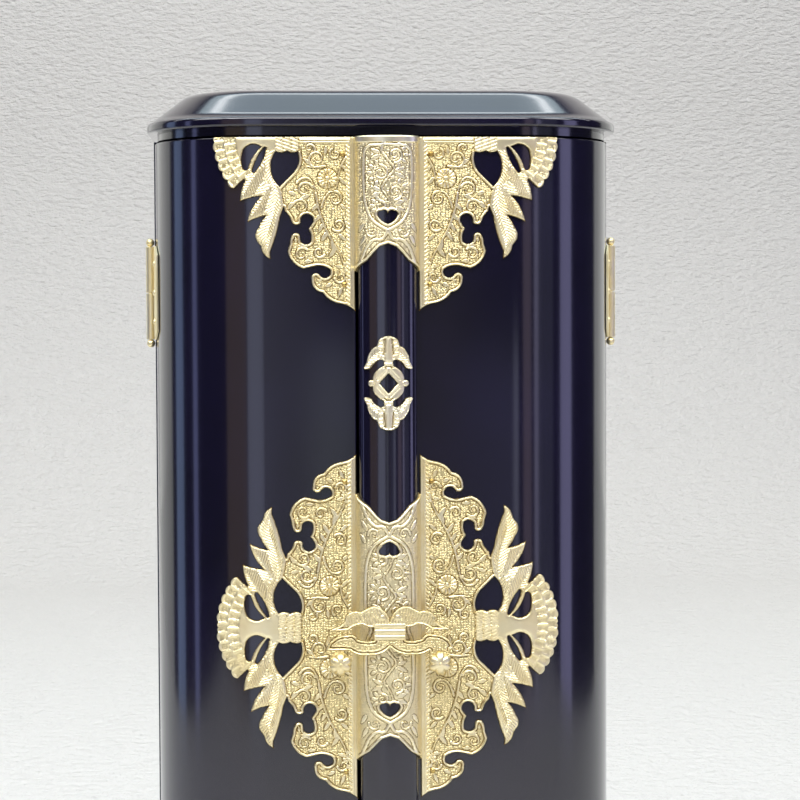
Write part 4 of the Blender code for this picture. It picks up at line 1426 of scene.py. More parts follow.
@dataclass
class BattenFittings:
    """The fittings wrapped over the batten, and the ornaments between them."""

    shop: Workshop
    wrap: float = 0.97

    def drawing(self) -> tuple[list, list]:
        """Half of the fitting, from its line of symmetry to its pointed ends."""
        half = BATTEN.line()[0][-1] / MM * self.wrap
        right = [(x * (half / BATTEN_EDGE_HALF), drop, 0) for x, drop in BATTEN_EDGE]
        left = [(-x, drop, 0) for x, drop, _ in reversed(right[1:])]
        start = [(-half, 0, 0), (-half, BATTEN_DROP, 0)]
        end = [(half, BATTEN_DROP, 0), (half, 0, 0)]
        return [arcs(start + left + right + end)], [arcs(HEART)]

    def relief(self, sheet: Sheet, seam_edge: bool) -> Points:
        """A wavy stem with curls and sprays of leaves, in a corded border.

        Args:
            sheet: The cut sheet.
            seam_edge: Whether the line of symmetry is a real edge.

        Returns:
            Heights in metres.
        """
        points = sheet.points
        relief = Relief(points, sheet.rim_distance(seam=not seam_edge))
        first = 4.2 if seam_edge else 0.0
        border = (
            (-7.4, first), (-9.6, 7.0), (-10.0, 16.0), (-9.6, 26.0), (-8.0, 32.5), (-5.2, 36.6), (0, 39.8)
        )
        lobe = ((0, 39.8), (-2.2, 43.4), (-5.6, 43.8), (-8.6, 46.6), (-10.4, 50.6), (-12.2, 54.6))
        for nodes in (border, lobe):
            line = smooth_line(nodes)
            relief.cord(line, 0.6, 0.5, 1.0)
            relief.cord(turned_over(line, run=-1), 0.6, 0.5, 1.0)
        if seam_edge:
            relief.put(points[:, 1] < 2.8, 0.5)
            relief.cord(smooth_line(((-7.4, 4.2), (0, 3.9), (7.4, 4.2))), 0.6, 0.5, 1.0)
        stem = ((0, 0), (-2.5, 6.0), (0, 10.0), (2.5, 14.0), (0, 18.0), (-2.4, 22.0), (0, 26.0), (1.4, 30.0))
        relief.cord(smooth_line(stem), 0.55, 0.5)
        for level, side in ((8.2, 1), (15.8, -1), (23.8, 1), (29.6, -1)):
            reach = 3.4 if level < 29 else 2.2
            middle = (side * 3.0, level)
            relief.cord(curl(middle, reach, 180 - 90 * side, -400 * side), 0.5, 0.5)
            for turn in (-70, -35, 0, 35, 70):
                angle = math.radians(turn if side > 0 else 180 - turn)
                spoke = np.array((math.cos(angle), math.sin(angle)))
                root = middle + spoke * reach
                tip = middle + spoke * (reach + 2.8)
                relief.leaf(tuple(root), tuple(tip), 0.75, 0.42)
            relief.leaf((-side * 3.0, level), (-side * 7.6, level + 2.6), 0.9, 0.42)
            relief.leaf((-side * 3.0, level - 0.6), (-side * 7.2, level - 2.6), 0.9, 0.42)
        for side in (1, -1):
            relief.cord(curl((side * 6.2, 40.4), 2.6, 90 - 100 * side, 330 * side), 0.45, 0.42)
            relief.leaf((side * 9.0, 41.6), (side * 11.8, 46.6), 0.8, 0.4)
            relief.leaf((side * 9.6, 36.4), (side * 12.4, 40.8), 0.8, 0.4)
        return relief.heights()

    def place(self, level: float, way: int) -> Place:
        """Wraps the drawing over the batten.

        Args:
            level: Where its line of symmetry is.
            way: 1 if the drop runs upwards.

        Returns:
            The function that places points.
        """

        def placed(points: Points, height: Points) -> Points:
            """Places flat points at heights over the batten."""
            x, y = BATTEN.at(points[:, 0] * MM, JOIN_GAP + height)
            return np.column_stack((x, y, level + way * points[:, 1] * MM))

        return placed

    def build(self) -> None:
        """Builds the two caps, the middle fitting and the ornaments."""
        shapes, holes = self.drawing()
        sheet = Sheet.cut(shapes, holes, SPACING)
        edge = self.relief(sheet, True)
        for end, level, way in ENDS:
            self.fitting(f"batten_fitting_{end}", sheet, edge, level, (way,))
        open_edge = self.relief(sheet, False)
        self.fitting("batten_fitting_middle", sheet, open_edge, DOOR_MIDDLE, (1, -1))
        for word in ("upper", "lower"):
            self.ornament(word)

    def fitting(
        self, node: str, sheet: Sheet, heights: Points, level: float, ways: Sequence[int]
    ) -> None:
        """Makes one fitting from one cut sheet or from two that mirror each other.

        Args:
            node: The solid's name.
            sheet: The cut sheet.
            heights: Its relief.
            level: Where its line of symmetry is.
            ways: For each sheet, 1 if the drop runs upwards and -1 if it runs downwards.
        """
        skins = []
        for way in ways:
            points, faces, relief = sheet.skin(heights, self.place(level, way))
            skins.append((points, flipped(faces, way > 0), relief))
        chased_piece(node, skins, self.shop.pale, Body.RIGHT)

    def ornament(self, word: str) -> None:
        """One winged ornament.

        Args:
            word: Which one, upper or lower.
        """
        low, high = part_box(f"ornament_{word}")
        quarter = arcs(ORNAMENT_QUARTER)
        lap = np.column_stack((np.isclose(quarter[:, 0], 0), np.isclose(quarter[:, 1], 0))) * ORNAMENT_LAP
        quarter = quarter - lap
        shapes = [turned_over(quarter, run, drop) for run in (1, -1) for drop in (1, -1)]
        shapes += [circle(24) * BALL_RADIUS + np.array((side * BALL_RUN, 0)) for side in (1, -1)]
        sheet = Sheet.cut(shapes, [], FINE_SPACING)
        level = (low[2] + high[2]) / 2
        self.fitting(f"ornament_{word}", sheet, self.ornament_relief(sheet), level, (1,))

    def ornament_relief(self, sheet: Sheet) -> Points:
        """Veined wings round a boss of petals, with a pointed bud at each end.

        Args:
            sheet: The cut ornament.

        Returns:
            Heights in metres.
        """
        points = sheet.points
        mirrored = np.abs(points)
        rim = sheet.rim_distance()
        relief = Relief(points, rim, 0.9, 0.5)
        wing = smooth_line(((3.4, 13.8), (6.4, 11.4), (8.6, 7.8)))
        distance, where = nearest(mirrored, wing)
        in_wing = (mirrored[:, 1] > 5.8) & (mirrored[:, 0] > 2.2) & (rim > 0.7)
        relief.put(in_wing, 0.3 + 0.16 * np.cos(2 * np.pi * (where + 0.8 * distance) / 1.2))
        petal = nearest(mirrored, smooth_line(((0.8, 5.4), (4.4, 1.6))))[0]
        relief.put((mirrored[:, 1] < 6.4) & (rim > 0.6), 0.5 - 0.3 * np.exp(-((petal / 0.45) ** 2)))
        for drop in (1, -1):
            bud = ((0, 10.4 * drop), (0, 14.0 * drop), (0, 18.2 * drop))
            relief.cord(smooth_line(bud), 1.9, 0.68, 0.6)
            for run in (1, -1):
                tendril = curl((run * 3.0, 12.4 * drop), 1.8, 90 + 90 * run, 300 * run * drop)
                relief.cord(tendril, 0.45, 0.6)
        for drop in (1, -1):
            tie = ((-1.9, 8.3 * drop), (0, 8.0 * drop), (1.9, 8.3 * drop))
            relief.cord(smooth_line(tie), 0.7, 0.68, 1.0)
        for side in (1, -1):
            reach = np.hypot(points[:, 0] - side * BALL_RUN, points[:, 1]) / BALL_RADIUS
            relief.put(reach < 1, 0.1 + 0.58 * np.sqrt(np.clip(1 - reach**2, 0, 1)))
        return relief.heights()


# Latch and studs

LATCH_WINGS = (
    (0, 0.5, 0),
    (5.0, 1.9, -0.12),
    (11.4, 2.6, 0.1),
    (17.6, 0.2, 0),
    (26.5, 0, 0),
    (22.7, 1.6, 0.1),
    (19.0, 4.3, -0.2),
    (15.5, 8.2, -0.1),
    (12.6, 7.9, 0.0),
    (8.4, 10.0, -0.15),
    (2.2, 8.1, -0.12),
    (0, 3.0, 0),
)
LATCH_BUCKLE = ((-6.8, 3.2, 0), (-6.8, -4.2, 0), (6.8, -4.2, 0), (6.8, 3.2, 0))
LATCH_LOBES = (
    (0, -7.2, -0.12),
    (9.5, -10.3, -0.1),
    (17.0, -8.4, 0),
    (19.0, -8.2, 0),
    (24.4, -8.2, 0),
    (27.2, -8.0, 0),
    (25.6, -5.0, -0.12),
    (18.0, -1.8, -0.2),
    (13.5, -3.6, 0.1),
    (5.0, -3.6, 0),
    (0, -3.6, 0),
)
LATCH_ARM_TOP = -7.0
LATCH_EYE_RADIUS = 4.4
NECK_RADIUS = 1.9
NECK_PLAY = 0.35


@dataclass
class Latch:
    """The pierced latch in front of the batten, and the studs that it spans."""

    shop: Workshop
    plate: float = 1.2 * MM
    petals: int = 6
    cleft: float = 0.24
    foot_radius: float = 3.6 * MM
    head: float = 4.2 * MM
    head_edge: float = 0.5 * MM

    def build(self) -> None:
        """Builds the latch and both studs."""
        self.bar()
        for word, side, body in SIDES:
            self.stud(word, side, body)

    def bar(self) -> None:
        """The latch's winged bar."""
        stud = np.array((STUD_X, STUD_Z - DOOR_MIDDLE)) / MM
        ring = circle(32)
        wings = arcs(LATCH_WINGS)
        lobes = arcs(LATCH_LOBES)
        shapes = [arcs(LATCH_BUCKLE)]
        for outline in (wings, lobes):
            lap = np.isclose(outline[:, 0], 0) * ORNAMENT_LAP
            lapped = outline - np.column_stack((lap, np.zeros(len(outline))))
            shapes += [lapped, turned_over(lapped, run=-1)]
        eye = LATCH_EYE_RADIUS
        arm = ((-eye, LATCH_ARM_TOP), (eye, LATCH_ARM_TOP), (eye, stud[1]), (-eye, stud[1]))
        shapes += [ring * eye + stud, arcs([(stud[0] + x, y, 0) for x, y in arm])]
        holes = [ring * (NECK_RADIUS + NECK_PLAY) + stud]
        sheet = Sheet.cut(shapes, holes, FINE_SPACING)
        points = sheet.points
        mirrored = np.column_stack((np.abs(points[:, 0]), points[:, 1]))
        rim = sheet.rim_distance()
        relief = Relief(points, rim, 0.9, 0.5)
        in_wing = within(mirrored, wings) & (mirrored[:, 1] > 2.0)
        flutes = np.cos(2 * np.pi * (mirrored[:, 0] - 0.4 * mirrored[:, 1]) / 1.25)
        relief.put(in_wing & (rim > 0.85), 0.16 + 0.18 * flutes)
        volute = np.hypot(mirrored[:, 0] - 3.2, mirrored[:, 1] - 5.4) / 1.35
        relief.put(volute < 1, 0.1 + 0.55 * np.sqrt(np.clip(1 - volute**2, 0, 1)))
        in_lobe = within(mirrored, lobes) & (mirrored[:, 0] > 1.5)
        relief.put(in_lobe & (rim > 1.0) & (rim < 1.5), -0.12)
        relief.put(in_lobe & (rim > 1.5) & (rim < 2.0), 0.3)
        in_buckle = within(points, shapes[0])
        bars = np.abs(np.sin(np.pi * (points[:, 1] + 4.2) / 2.45)) ** 0.6
        relief.put(in_buckle, 0.6 * bars - 0.06)
        near_stud = np.hypot(*(points - stud).T) < LATCH_EYE_RADIUS + 1.4
        thick = self.plate - PLATE
        heights = np.where(near_stud, self.plate, relief.heights() + thick)
        back = LATCH_BOX[1][1]

        def placed(flat: Points, rise: Points) -> Points:
            """Places flat points at heights in front of the batten."""
            return np.column_stack((flat[:, 0] * MM, back - rise, DOOR_MIDDLE + flat[:, 1] * MM))

        made, faces, shape = sheet.skin(heights, placed)
        shape = shape - thick / MM * (shape != 0)
        chased_piece("latch", [(made, faces, shape)], self.shop.gilt, Body.LATCH)

    def stud(self, word: str, side: int, body: Body) -> None:
        """A stud: a turned foot and neck, and a head like a six-petalled bud.

        Args:
            word: Left or right.
            side: -1 or 1.
            body: The body that it rides on.
        """
        low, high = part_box(f"latch_stud_{word}")
        radius = (high[2] - low[2]) / 2
        bed, tip = high[1], low[1]
        foot = self.foot_radius
        neck = NECK_RADIUS * MM
        neck_end = tip + self.head
        crown = neck_end - self.head_edge
        profile = [(foot, bed, 0.0), (foot, bed - 0.5 * MM, 0.0), (3.2 * MM, bed - 1.1 * MM, 0.0)]
        profile += [(2.9 * MM, bed - 1.6 * MM, 0.0), (neck, bed - 1.65 * MM, 0.0), (neck, neck_end, 0.0)]
        profile += [(radius * 0.82, neck_end, 0.6), (radius * 0.96, crown, 1.0)]
        for step, turn in enumerate(quarter_turns(8)[1:], 1):
            reach = radius * (0.16 + 0.84 * math.cos(turn))
            profile.append((reach, crown - (self.head - 0.9 * MM) * math.sin(turn), 1.0 - 0.25 * step / 8))
        profile.append((radius * 0.1, tip, 0.0))
        count = self.petals * 12
        turns = np.linspace(0, math.tau, count + 1)[:-1]
        valley = self.cleft * (1 - np.abs(np.sin(self.petals / 2 * turns)) ** 0.7)
        rings = []
        for reach, y, petal in profile:
            spread = reach * (1 - petal * valley)
            x = side * STUD_X + spread * np.cos(turns)
            rings.append(np.column_stack((x, np.full(count, y), STUD_Z + spread * np.sin(turns))))
        points, faces = stacked(rings)
        node = f"latch_stud_{word}"
        make_piece(
            f"{node}_turned", points, faces, self.shop.bright, body, (node,), STUD_SHARP_DEG
        )


# Lacquered cabinet


@dataclass
class LacqueredCabinet:
    """The lid, the base, the shell, the doors and the batten."""

    shop: Workshop
    band_inset: float = 1.0 * MM
    band_height: float = 3.4 * MM
    lip_round: float = 1.2 * MM
    lip_height: float = 4.4 * MM
    nose: float = 1.7 * MM
    slope_width: float = 12.8 * MM
    slope_height: float = 9.9 * MM
    crown_width: float = 7 * MM
    base_round: float = 4.5 * MM
    foot_round: float = 1.2 * MM
    edge_round: float = 0.7 * MM
    batten_round: float = 0.4 * MM

    def build(self) -> None:
        """Builds the lacquered pieces."""
        self.lid()
        self.base()
        self.shell()
        for word, side, body in SIDES:
            self.door(word, side, body)
        self.batten()

    def loft(self, node: str, profile: Sequence[tuple]) -> None:
        """Makes a board round the cabinet's outline.

        Args:
            node: The solid's name.
            profile: Pairs of an offset from the outline and a level.
        """
        rings = [[(x, y, level) for x, y in CABINET.outline(offset)] for offset, level in profile]
        self.board(node, *stacked(rings), Body.CABINET, LOFT_SHARP_DEG)

    def board(
        self,
        node: str,
        points: list,
        faces: list,
        body: Body = Body.CABINET,
        sharp_deg: float = PLAIN_SHARP_DEG,
    ) -> bpy.types.Object:
        """Makes one lacquered piece.

        Args:
            node: The solid's name.
            points: Its points.
            faces: Its faces.
            body: The body that it rides on.
            sharp_deg: Edges sharper than this stay sharp.

        Returns:
            The piece.
        """
        return make_piece(
            f"{node.removeprefix('cabinet_')}_lacquered",
            points,
            faces,
            self.shop.lacquer,
            body,
            (node,),
            sharp_deg,
        )

    def lid(self) -> None:
        """The lid: a band, a round lip that overhangs, a slope and a low crown."""
        floor, top = LID_BOX[0][2], LID_BOX[1][2]
        overhang = LID_BOX[1][0] - HALF_WIDTH
        lip = floor + self.band_height
        shoulder = lip + self.lip_height
        slope_start = overhang - self.nose
        crown = shoulder + self.slope_height
        profile = [(-self.band_inset, floor), (-self.band_inset, lip)]
        for turn in quarter_turns(6):
            out = overhang - self.lip_round * (1 - math.sin(turn))
            profile.append((out, lip + self.lip_round * (1 - math.cos(turn))))
        for turn in quarter_turns(10):
            out = overhang - self.nose * (1 - math.cos(turn))
            profile.append((out, shoulder - self.nose * (1 - math.sin(turn))))
        for share in (step / 5 for step in range(1, 5)):
            profile.append((slope_start - self.slope_width * share, shoulder + self.slope_height * share))
        for share in (step / 12 for step in range(13)):
            out = slope_start - self.slope_width - self.crown_width * share
            profile.append((out, crown + (top - crown) * (1 - (1 - share) ** 2)))
        self.loft("lid", profile)

    def base(self) -> None:
        """The base: a plinth with a round upper edge under a narrow band."""
        top = BASE_BOX[1][2]
        overhang = BASE_BOX[1][0] - HALF_WIDTH
        slab = top - self.band_height
        foot = self.foot_round
        profile = [(overhang - foot, 0.0), (overhang - 0.35 * MM, 0.35 * MM), (overhang, foot)]
        for turn in quarter_turns(12):
            out = overhang - self.base_round * (1 - math.cos(turn))
            profile.append((out, slab - self.base_round * (1 - math.sin(turn))))
        profile += [(-self.band_inset, slab), (-self.band_inset, top)]
        self.loft("base", profile)

    def wall(
        self, outer: Sequence[tuple], inner: Sequence[tuple], low: float, high: float
    ) -> tuple[list, list]:
        """A bent wall between two lines, as a strip with flat ends.

        Args:
            outer: Points along its outer face.
            inner: As many points along its inner face.
            low: Its lower level.
            high: Its upper level.

        Returns:
            Points and faces.
        """
        points = []
        for (ox, oy), (ix, iy) in zip(outer, inner):
            points += [(ox, oy, low), (ox, oy, high), (ix, iy, high), (ix, iy, low)]
        faces = []
        for i in range(len(outer) - 1):
            a, b = 4 * i, 4 * i + 4
            faces += [(a + k, b + k, b + (k + 1) % 4, a + (k + 1) % 4) for k in range(4)]
        last = 4 * (len(outer) - 1)
        faces += [(3, 2, 1, 0), (last, last + 1, last + 2, last + 3)]
        return points, faces

    def shell(self) -> None:
        """The two sides and the back, bent in one wall."""
        start = SHELL_BOX[0][1]
        steps = CABINET.steps
        outline = CABINET.outline(0.0)
        inside = CABINET.outline(-WALL)
        back = slice(steps + 1, 3 * (steps + 1))
        outer = [(HALF_WIDTH, start)] + outline[back] + [(-HALF_WIDTH, start)]
        inner = [(HALF_WIDTH - WALL, start)] + inside[back] + [(WALL - HALF_WIDTH, start)]
        points, faces = self.wall(outer, inner, SHELL_BOX[0][2], SHELL_BOX[1][2])
        soften(self.board("cabinet_shell", points, faces), self.edge_round)

    def door(self, word: str, side: int, body: Body) -> None:
        """A door: half the front and the whole corner in one bent wall.

        Args:
            word: Left or right.
            side: -1 or 1.
            body: The body that it rides on.
        """
        low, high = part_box(f"door_{word}")
        inner_x = high[0] if side < 0 else low[0]
        steps = CABINET.steps
        corner = CABINET.outline(0.0)[: steps + 1]
        inside = CABINET.outline(-WALL)[: steps + 1]
        outer = [(inner_x * side, FRONT)] + corner + [(HALF_WIDTH, high[1])]
        inner = [(inner_x * side, FRONT + WALL)] + inside + [(HALF_WIDTH - WALL, high[1])]
        lines = [[(side * x, y) for x, y in line] for line in (outer, inner)]
        points, faces = self.wall(*lines, low[2], high[2])
        piece = self.board(f"door_{word}", points, flipped(faces, side < 0), body)
        soften(piece, self.edge_round)

    def batten(self) -> None:
        """The half-round batten on the right door."""
        runs = BATTEN.line()[0]
        both = np.concatenate((-runs[::-1][:-1], runs))
        x, y = BATTEN.at(both, np.zeros(len(both)))
        rings = [[(a, b, level) for a, b in zip(x, y)] for level in (BATTEN_BOX[0][2], BATTEN_BOX[1][2])]
        points, faces = stacked(rings)
        soften(self.board("batten", points, faces, Body.RIGHT), self.batten_round)


# Hinges


@dataclass
class Hinges:
    """Four leaf hinges on the cabinet's sides."""

    shop: Workshop
    sides: int = 28
    corner: float = 4.0
    near: float = 1.7
    plate: float = 0.8 * MM
    rim_drop: float = 0.25 * MM
    line_drop: float = 0.12 * MM
    nail_radius: float = 1.5 * MM
    bore: float = 1.02 * MM
    knuckle: float = 2.0 * MM
    chamfer: float = 0.2 * MM
    ball: float = 1.85 * MM
    pin_radius: float = 0.9 * MM

    def build(self) -> None:
        """Builds every hinge's two leaves and its pin."""
        for word, side, door in SIDES:
            for end in ("upper", "lower"):
                name = f"hinge_{word}_{end}"
                self.leaf(f"{name}_door_leaf", side, -1, door)
                self.leaf(f"{name}_cabinet_leaf", side, 1, Body.CABINET)
                self.pin(f"{name}_pin")

    def leaf(self, node: str, side: int, way: int, body: Body) -> None:
        """One leaf: a thin plate with a chased rim, nails and a rolled knuckle.

        Args:
            node: The solid's name.
            side: -1 or 1.
            way: -1 on the door, 1 on the cabinet.
            body: The body that it rides on.
        """
        low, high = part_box(node)
        pin_low, pin_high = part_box(node.rsplit("_", 2)[0] + "_pin")
        axis = np.array(((pin_low[0] + pin_high[0]) / 2, (pin_low[1] + pin_high[1]) / 2))
        middle = (low[2] + high[2]) / 2
        half = (high[2] - low[2]) / 2 / MM
        far = abs((high[1] if way > 0 else -low[1]) / MM - axis[1] / MM * way)
        near, cut = self.near, self.corner
        nodes = ((near, -half, 0), (far - cut, -half, 0), (far, cut - half, 0), (far, half - cut, 0))
        nodes += ((far - cut, half, 0), (near, half, 0))
        sheet = Sheet.cut([arcs(nodes, 0.8)], [], 0.7)
        rim = sheet.rim_distance()
        edge = np.clip(rim / 0.5, 0, 1)
        heights = self.plate - self.rim_drop * (1 - edge) - self.line_drop * ((rim > 1.0) & (rim < 1.8))
        inner = HALF_WIDTH + JOIN_GAP
        corner_end = HALF_WIDTH - CORNER_RADIUS + CORNER_RADIUS * math.pi / 2
        hinge_run = corner_end + axis[1] + HALF_DEPTH - CORNER_RADIUS

        def placed(flat: Points, rise: Points) -> Points:
            """Places flat points at heights over the cabinet's side."""
            x, y = CABINET.at(side * (hinge_run + way * flat[:, 0] * MM), JOIN_GAP + rise)
            return np.column_stack((x, y, middle + flat[:, 1] * MM))

        points, faces, _ = sheet.skin(heights, placed)
        faces = flipped(faces, side * way < 0)
        levels = (HINGE_GAP / 2, half * MM) if way < 0 else (-half * MM, -HINGE_GAP / 2)
        self.barrel(points, faces, axis, middle + levels[0], middle + levels[1], side, way, inner)
        for height in (-0.62, 0.0, 0.62):
            spot = placed(np.array([((near + far) / 2 + 1.0, height * half)]), np.array([0.75 * MM]))[0]
            add_dome(points, faces, spot, np.array((side, 0, 0)), self.nail_radius, 0.5)
        make_piece(f"{node}_chased", points, faces, self.shop.bright, body, (node,))

    def barrel(
        self,
        points: list,
        faces: list,
        axis: Points,
        low: float,
        high: float,
        side: int,
        way: int,
        inner: float,
    ) -> None:
        """Adds a rolled knuckle and its web to a leaf.

        Args:
            points: The leaf's points.
            faces: The leaf's faces.
            axis: The pin's x and y.
            low: The knuckle's lower level.
            high: The knuckle's upper level.
            side: -1 or 1.
            way: -1 on the door, 1 on the cabinet.
            inner: The leaf's inner face, as a distance from the middle.
        """
        bore, radius, cut = self.bore, self.knuckle, self.chamfer
        profile = ((bore, low), (radius - cut, low), (radius, low + cut))
        profile += ((radius, high - cut), (radius - cut, high), (bore, high))
        knuckle = [point for ring in turned_rings(*axis, profile, self.sides) for point in ring]
        tube = []
        for ring in range(len(profile)):
            here = ring * self.sides
            there = (ring + 1) % len(profile) * self.sides
            for i in range(self.sides):
                j = (i + 1) % self.sides
                tube.append((here + i, here + j, there + j, there + i))
        add_skin(points, faces, knuckle, tube)
        start = axis[1] + way * 1.1 * MM
        end = axis[1] + way * 3.0 * MM
        xs = (side * (inner + 0.12 * MM), side * (inner + 0.68 * MM))
        corners = ((xs[0], start), (xs[1], start), (xs[1], end), (xs[0], end))
        web = [[(x, y, level) for x, y in corners] for level in (low + 0.1 * MM, high - 0.1 * MM)]
        made, made_faces = stacked(web)
        add_skin(points, faces, made, flipped(made_faces, side * way < 0))

    def pin(self, node: str) -> None:
        """The pin, with a turned finial at each end.

        Args:
            node: The solid's name.
        """
        low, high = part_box(node)
        x, y, middle = ((a + b) / 2 for a, b in zip(low, high))
        ball = self.ball
        end = (high[2] - low[2]) / 2 - 2 * ball + 0.1 * MM
        profile = [(self.pin_radius, end)]
        for turn in (step / 10 * math.pi for step in range(1, 10)):
            profile.append((ball * math.sin(turn), end + ball * (1 - math.cos(turn))))
        both = [(radius, -level) for radius, level in reversed(profile)] + profile
        rings = turned_rings(x, y, [(radius, middle + level) for radius, level in both], self.sides)
        points, faces = stacked(rings)
        make_piece(f"{node}_turned", points, faces, self.shop.bright, Body.CABINET, (node,))


# Studio


@dataclass(frozen=True)
class Softbox:
    """A rectangular light round the cabinet. Azimuth 0 is in front, and positive is to the right."""

    name: str
    azimuth_deg: float
    distance: float
    height: float
    width: float
    tall: float
    radiance: float
    aim: float = 0.3
    aim_back: float = 0.0
    colour: str = "#FFFFFF"


SOFTBOXES = (
    Softbox("ceiling", 180, 0.45, 2.3, 3.0, 1.6, 1.9, colour="#DCF2FA"),
    Softbox("wall_wash", 180, 1.15, 2.6, 8.0, 0.9, 3.7, aim=1.3, aim_back=2.6),
    Softbox("left_edge", -133, 2.2, 0.4, 1.5, 1.8, 0.72, colour="#F6F8F2"),
    Softbox("right_edge", 133, 2.2, 0.4, 1.5, 1.8, 0.72, colour="#F6F8F2"),
    Softbox("key_overhead", -6, 1.15, 1.75, 1.7, 1.0, 6.4),
    Softbox("overhead_left", -62, 1.1, 1.5, 0.8, 0.8, 4.8),
    Softbox("overhead_right", 62, 1.1, 1.5, 0.8, 0.8, 4.8),
    Softbox("left_rim", -100, 1.7, 0.3, 0.36, 1.4, 1.3, colour="#B2CCFF"),
    Softbox("left_line", -77.6, 2.0, 0.3, 0.2, 1.4, 1.5, colour="#B5BDFF"),
    Softbox("left_warm", -30.8, 2.0, 0.3, 0.72, 1.4, 0.37, colour="#FFE0BC"),
    Softbox("left_bright", -11.9, 2.0, 0.3, 0.53, 1.4, 1.15, colour="#DFE5FF"),
    Softbox("left_dim", -2.4, 2.0, 0.3, 0.13, 1.4, 0.2, colour="#FFFCF5"),
    Softbox("left_low", 0.4, 2.0, 0.11, 0.077, 0.42, 0.84, colour="#ECF6FF"),
    Softbox("right_near", 4.0, 2.0, 0.3, 0.015, 1.4, 0.4, colour="#FFF6F9"),
    Softbox("right_dim", 5.5, 2.0, 0.3, 0.064, 1.4, 0.2, colour="#FFF4E0"),
    Softbox("right_haze", 9.2, 2.0, 0.11, 0.18, 0.42, 0.25, colour="#DFE2FF"),
    Softbox("right_low", 14.0, 2.0, 0.11, 0.16, 0.42, 1.05, colour="#DFE2FF"),
    Softbox("right_warm", 25.3, 2.0, 0.3, 0.29, 1.4, 0.58, colour="#FFE6F7"),
    Softbox("right_line", 34.9, 2.0, 0.3, 0.148, 1.4, 1.5, colour="#DCD8FF"),
    Softbox("right_fill", 45.3, 2.0, 0.3, 0.58, 1.4, 0.26, colour="#DBDFFF"),
    Softbox("right_violet", 69.1, 2.0, 0.3, 0.5, 1.4, 1.9, colour="#CAC7FF"),
)


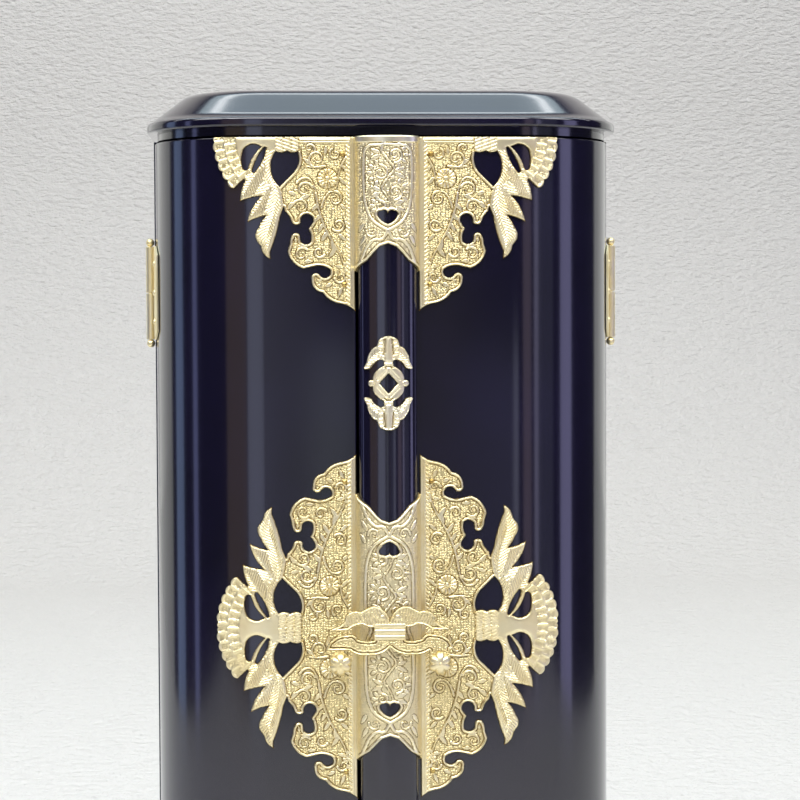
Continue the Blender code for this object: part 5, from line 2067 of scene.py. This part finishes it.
@dataclass
class Studio:
    """The floor, the wall behind, the lights and the camera."""

    floor_half: float = 1.15
    floor_front: float = 1.15
    wall_distance: float = 2.6
    wall_half: float = 5.0
    wall_height: float = 3.4
    wall_step: float = 0.01
    sweep_radius: float = 0.7
    paper: str = "#DAD7D3"
    dim: str = "#5A5A66"
    dim_strength: float = 0.35
    pale: str = "#E4E4E3"
    sensor_mm: float = 36
    lens_mm: float = 100.8
    camera_distance: float = 0.95
    camera_side: float = -0.045
    camera_height: float = 0.3726
    yaw_deg: float = 3.04
    tilt_deg: float = 2.5
    roll_deg: float = 0.25

    def build(self) -> None:
        """Builds the studio."""
        self.surround()
        self.lights()
        self.camera()

    def surround(self) -> None:
        """A pale floor that curves up into a pale wall, and a wider wall just behind it."""
        radius = self.sweep_radius
        foot = self.wall_distance - radius
        line = [(-self.floor_front, 0.0)]
        line += [(foot + radius * math.sin(t), radius * (1 - math.cos(t))) for t in quarter_turns(24)]
        line.append((self.wall_distance, self.wall_height))
        paper = PaintedPaper("embossed_lining_paper", self.paper).build()
        self.sheet("floor_and_wall", line, self.floor_half, paper)
        behind = self.wall_distance + self.wall_step
        self.sheet("wall_behind", [(behind, 0.0), (behind, self.wall_height)], self.wall_half, paper)

    def sheet(self, name: str, line: Sequence[tuple], half: float, paper: bpy.types.Material) -> None:
        """Draws a line out sideways into a sheet of the stage.

        Args:
            name: The sheet's name.
            line: Its profile, as distances back and heights.
            half: Half its width.
            paper: Its material.
        """
        points = [(x, y, z) for y, z in line for x in (-half, half)]
        faces = [(2 * i, 2 * i + 1, 2 * i + 3, 2 * i + 2) for i in range(len(line) - 1)]
        mesh = bpy.data.meshes.new(name)
        mesh.from_pydata(points, [], faces)
        mesh.shade_smooth()
        mesh.materials.append(paper)
        stage = bpy.data.objects.new(name, mesh)
        bpy.context.scene.collection.objects.link(stage)

    def light(self, box: Softbox) -> None:
        """Adds a soft rectangular light, which the camera itself doesn't see.

        Args:
            box: Its direction, size, brightness and aim.
        """
        turn = math.radians(box.azimuth_deg)
        place = Vector((box.distance * math.sin(turn), -box.distance * math.cos(turn), box.height))
        lamp = bpy.data.lights.new(box.name, "AREA")
        lamp.shape = "RECTANGLE"
        lamp.size, lamp.size_y = box.width, box.tall
        lamp.energy = math.pi * box.width * box.tall * box.radiance
        lamp.color = linear(box.colour)[:3]
        stand = bpy.data.objects.new(box.name, lamp)
        stand.location = place
        stand.visible_camera = False
        aim = Vector((0, box.aim_back, box.aim)) - place
        stand.rotation_euler = aim.to_track_quat("-Z", "Y").to_euler()
        bpy.context.scene.collection.objects.link(stand)

    def lights(self) -> None:
        """Soft boxes in a dim room: bright ones overhead, and strips that the lacquer mirrors.

        The room is dim in reflections and pale where the view goes past the wall.
        """
        for box in SOFTBOXES:
            self.light(box)
        world = bpy.data.worlds.new("dim room")
        world.use_nodes = True
        tree = world.node_tree
        settings = {"Color": linear(self.dim), "Strength": self.dim_strength}
        dim = fill(tree, tree.nodes["Background"], settings, {})
        pale = add_node(tree, "ShaderNodeBackground", {"Color": linear(self.pale), "Strength": 1.0}, {})
        seen = add_node(tree, "ShaderNodeLightPath", {}, {}).outputs["Is Camera Ray"]
        links = {0: seen, 1: dim.outputs[0], 2: pale.outputs[0]}
        room = add_node(tree, "ShaderNodeMixShader", {}, links)
        fill(tree, tree.nodes["World Output"], {}, {"Surface": room.outputs[0]})
        bpy.context.scene.world = world

    def camera(self) -> None:
        """The photograph's view: a long lens, a little to the left, looking slightly down."""
        lens = bpy.data.cameras.new("camera")
        lens.sensor_width = self.sensor_mm
        lens.lens = self.lens_mm
        view = bpy.data.objects.new("camera", lens)
        view.location = (self.camera_side, FRONT - self.camera_distance, self.camera_height)
        view.rotation_euler = (
            math.radians(90 - self.tilt_deg),
            math.radians(self.roll_deg),
            math.radians(-self.yaw_deg),
        )
        bpy.context.scene.collection.objects.link(view)
        bpy.context.scene.camera = view
        bpy.context.scene.view_settings.view_transform = "Standard"


def main() -> None:
    """Builds the shrine and its studio."""
    logging.basicConfig(level=logging.INFO, format="%(name)s: %(message)s")
    shop = Workshop()
    LacqueredCabinet(shop).build()
    DoorFittings(QuarterFitting(), shop).build()
    BattenFittings(shop).build()
    Latch(shop).build()
    Hinges(shop).build()
    Studio().build()


if __name__ == "__main__":
    main()
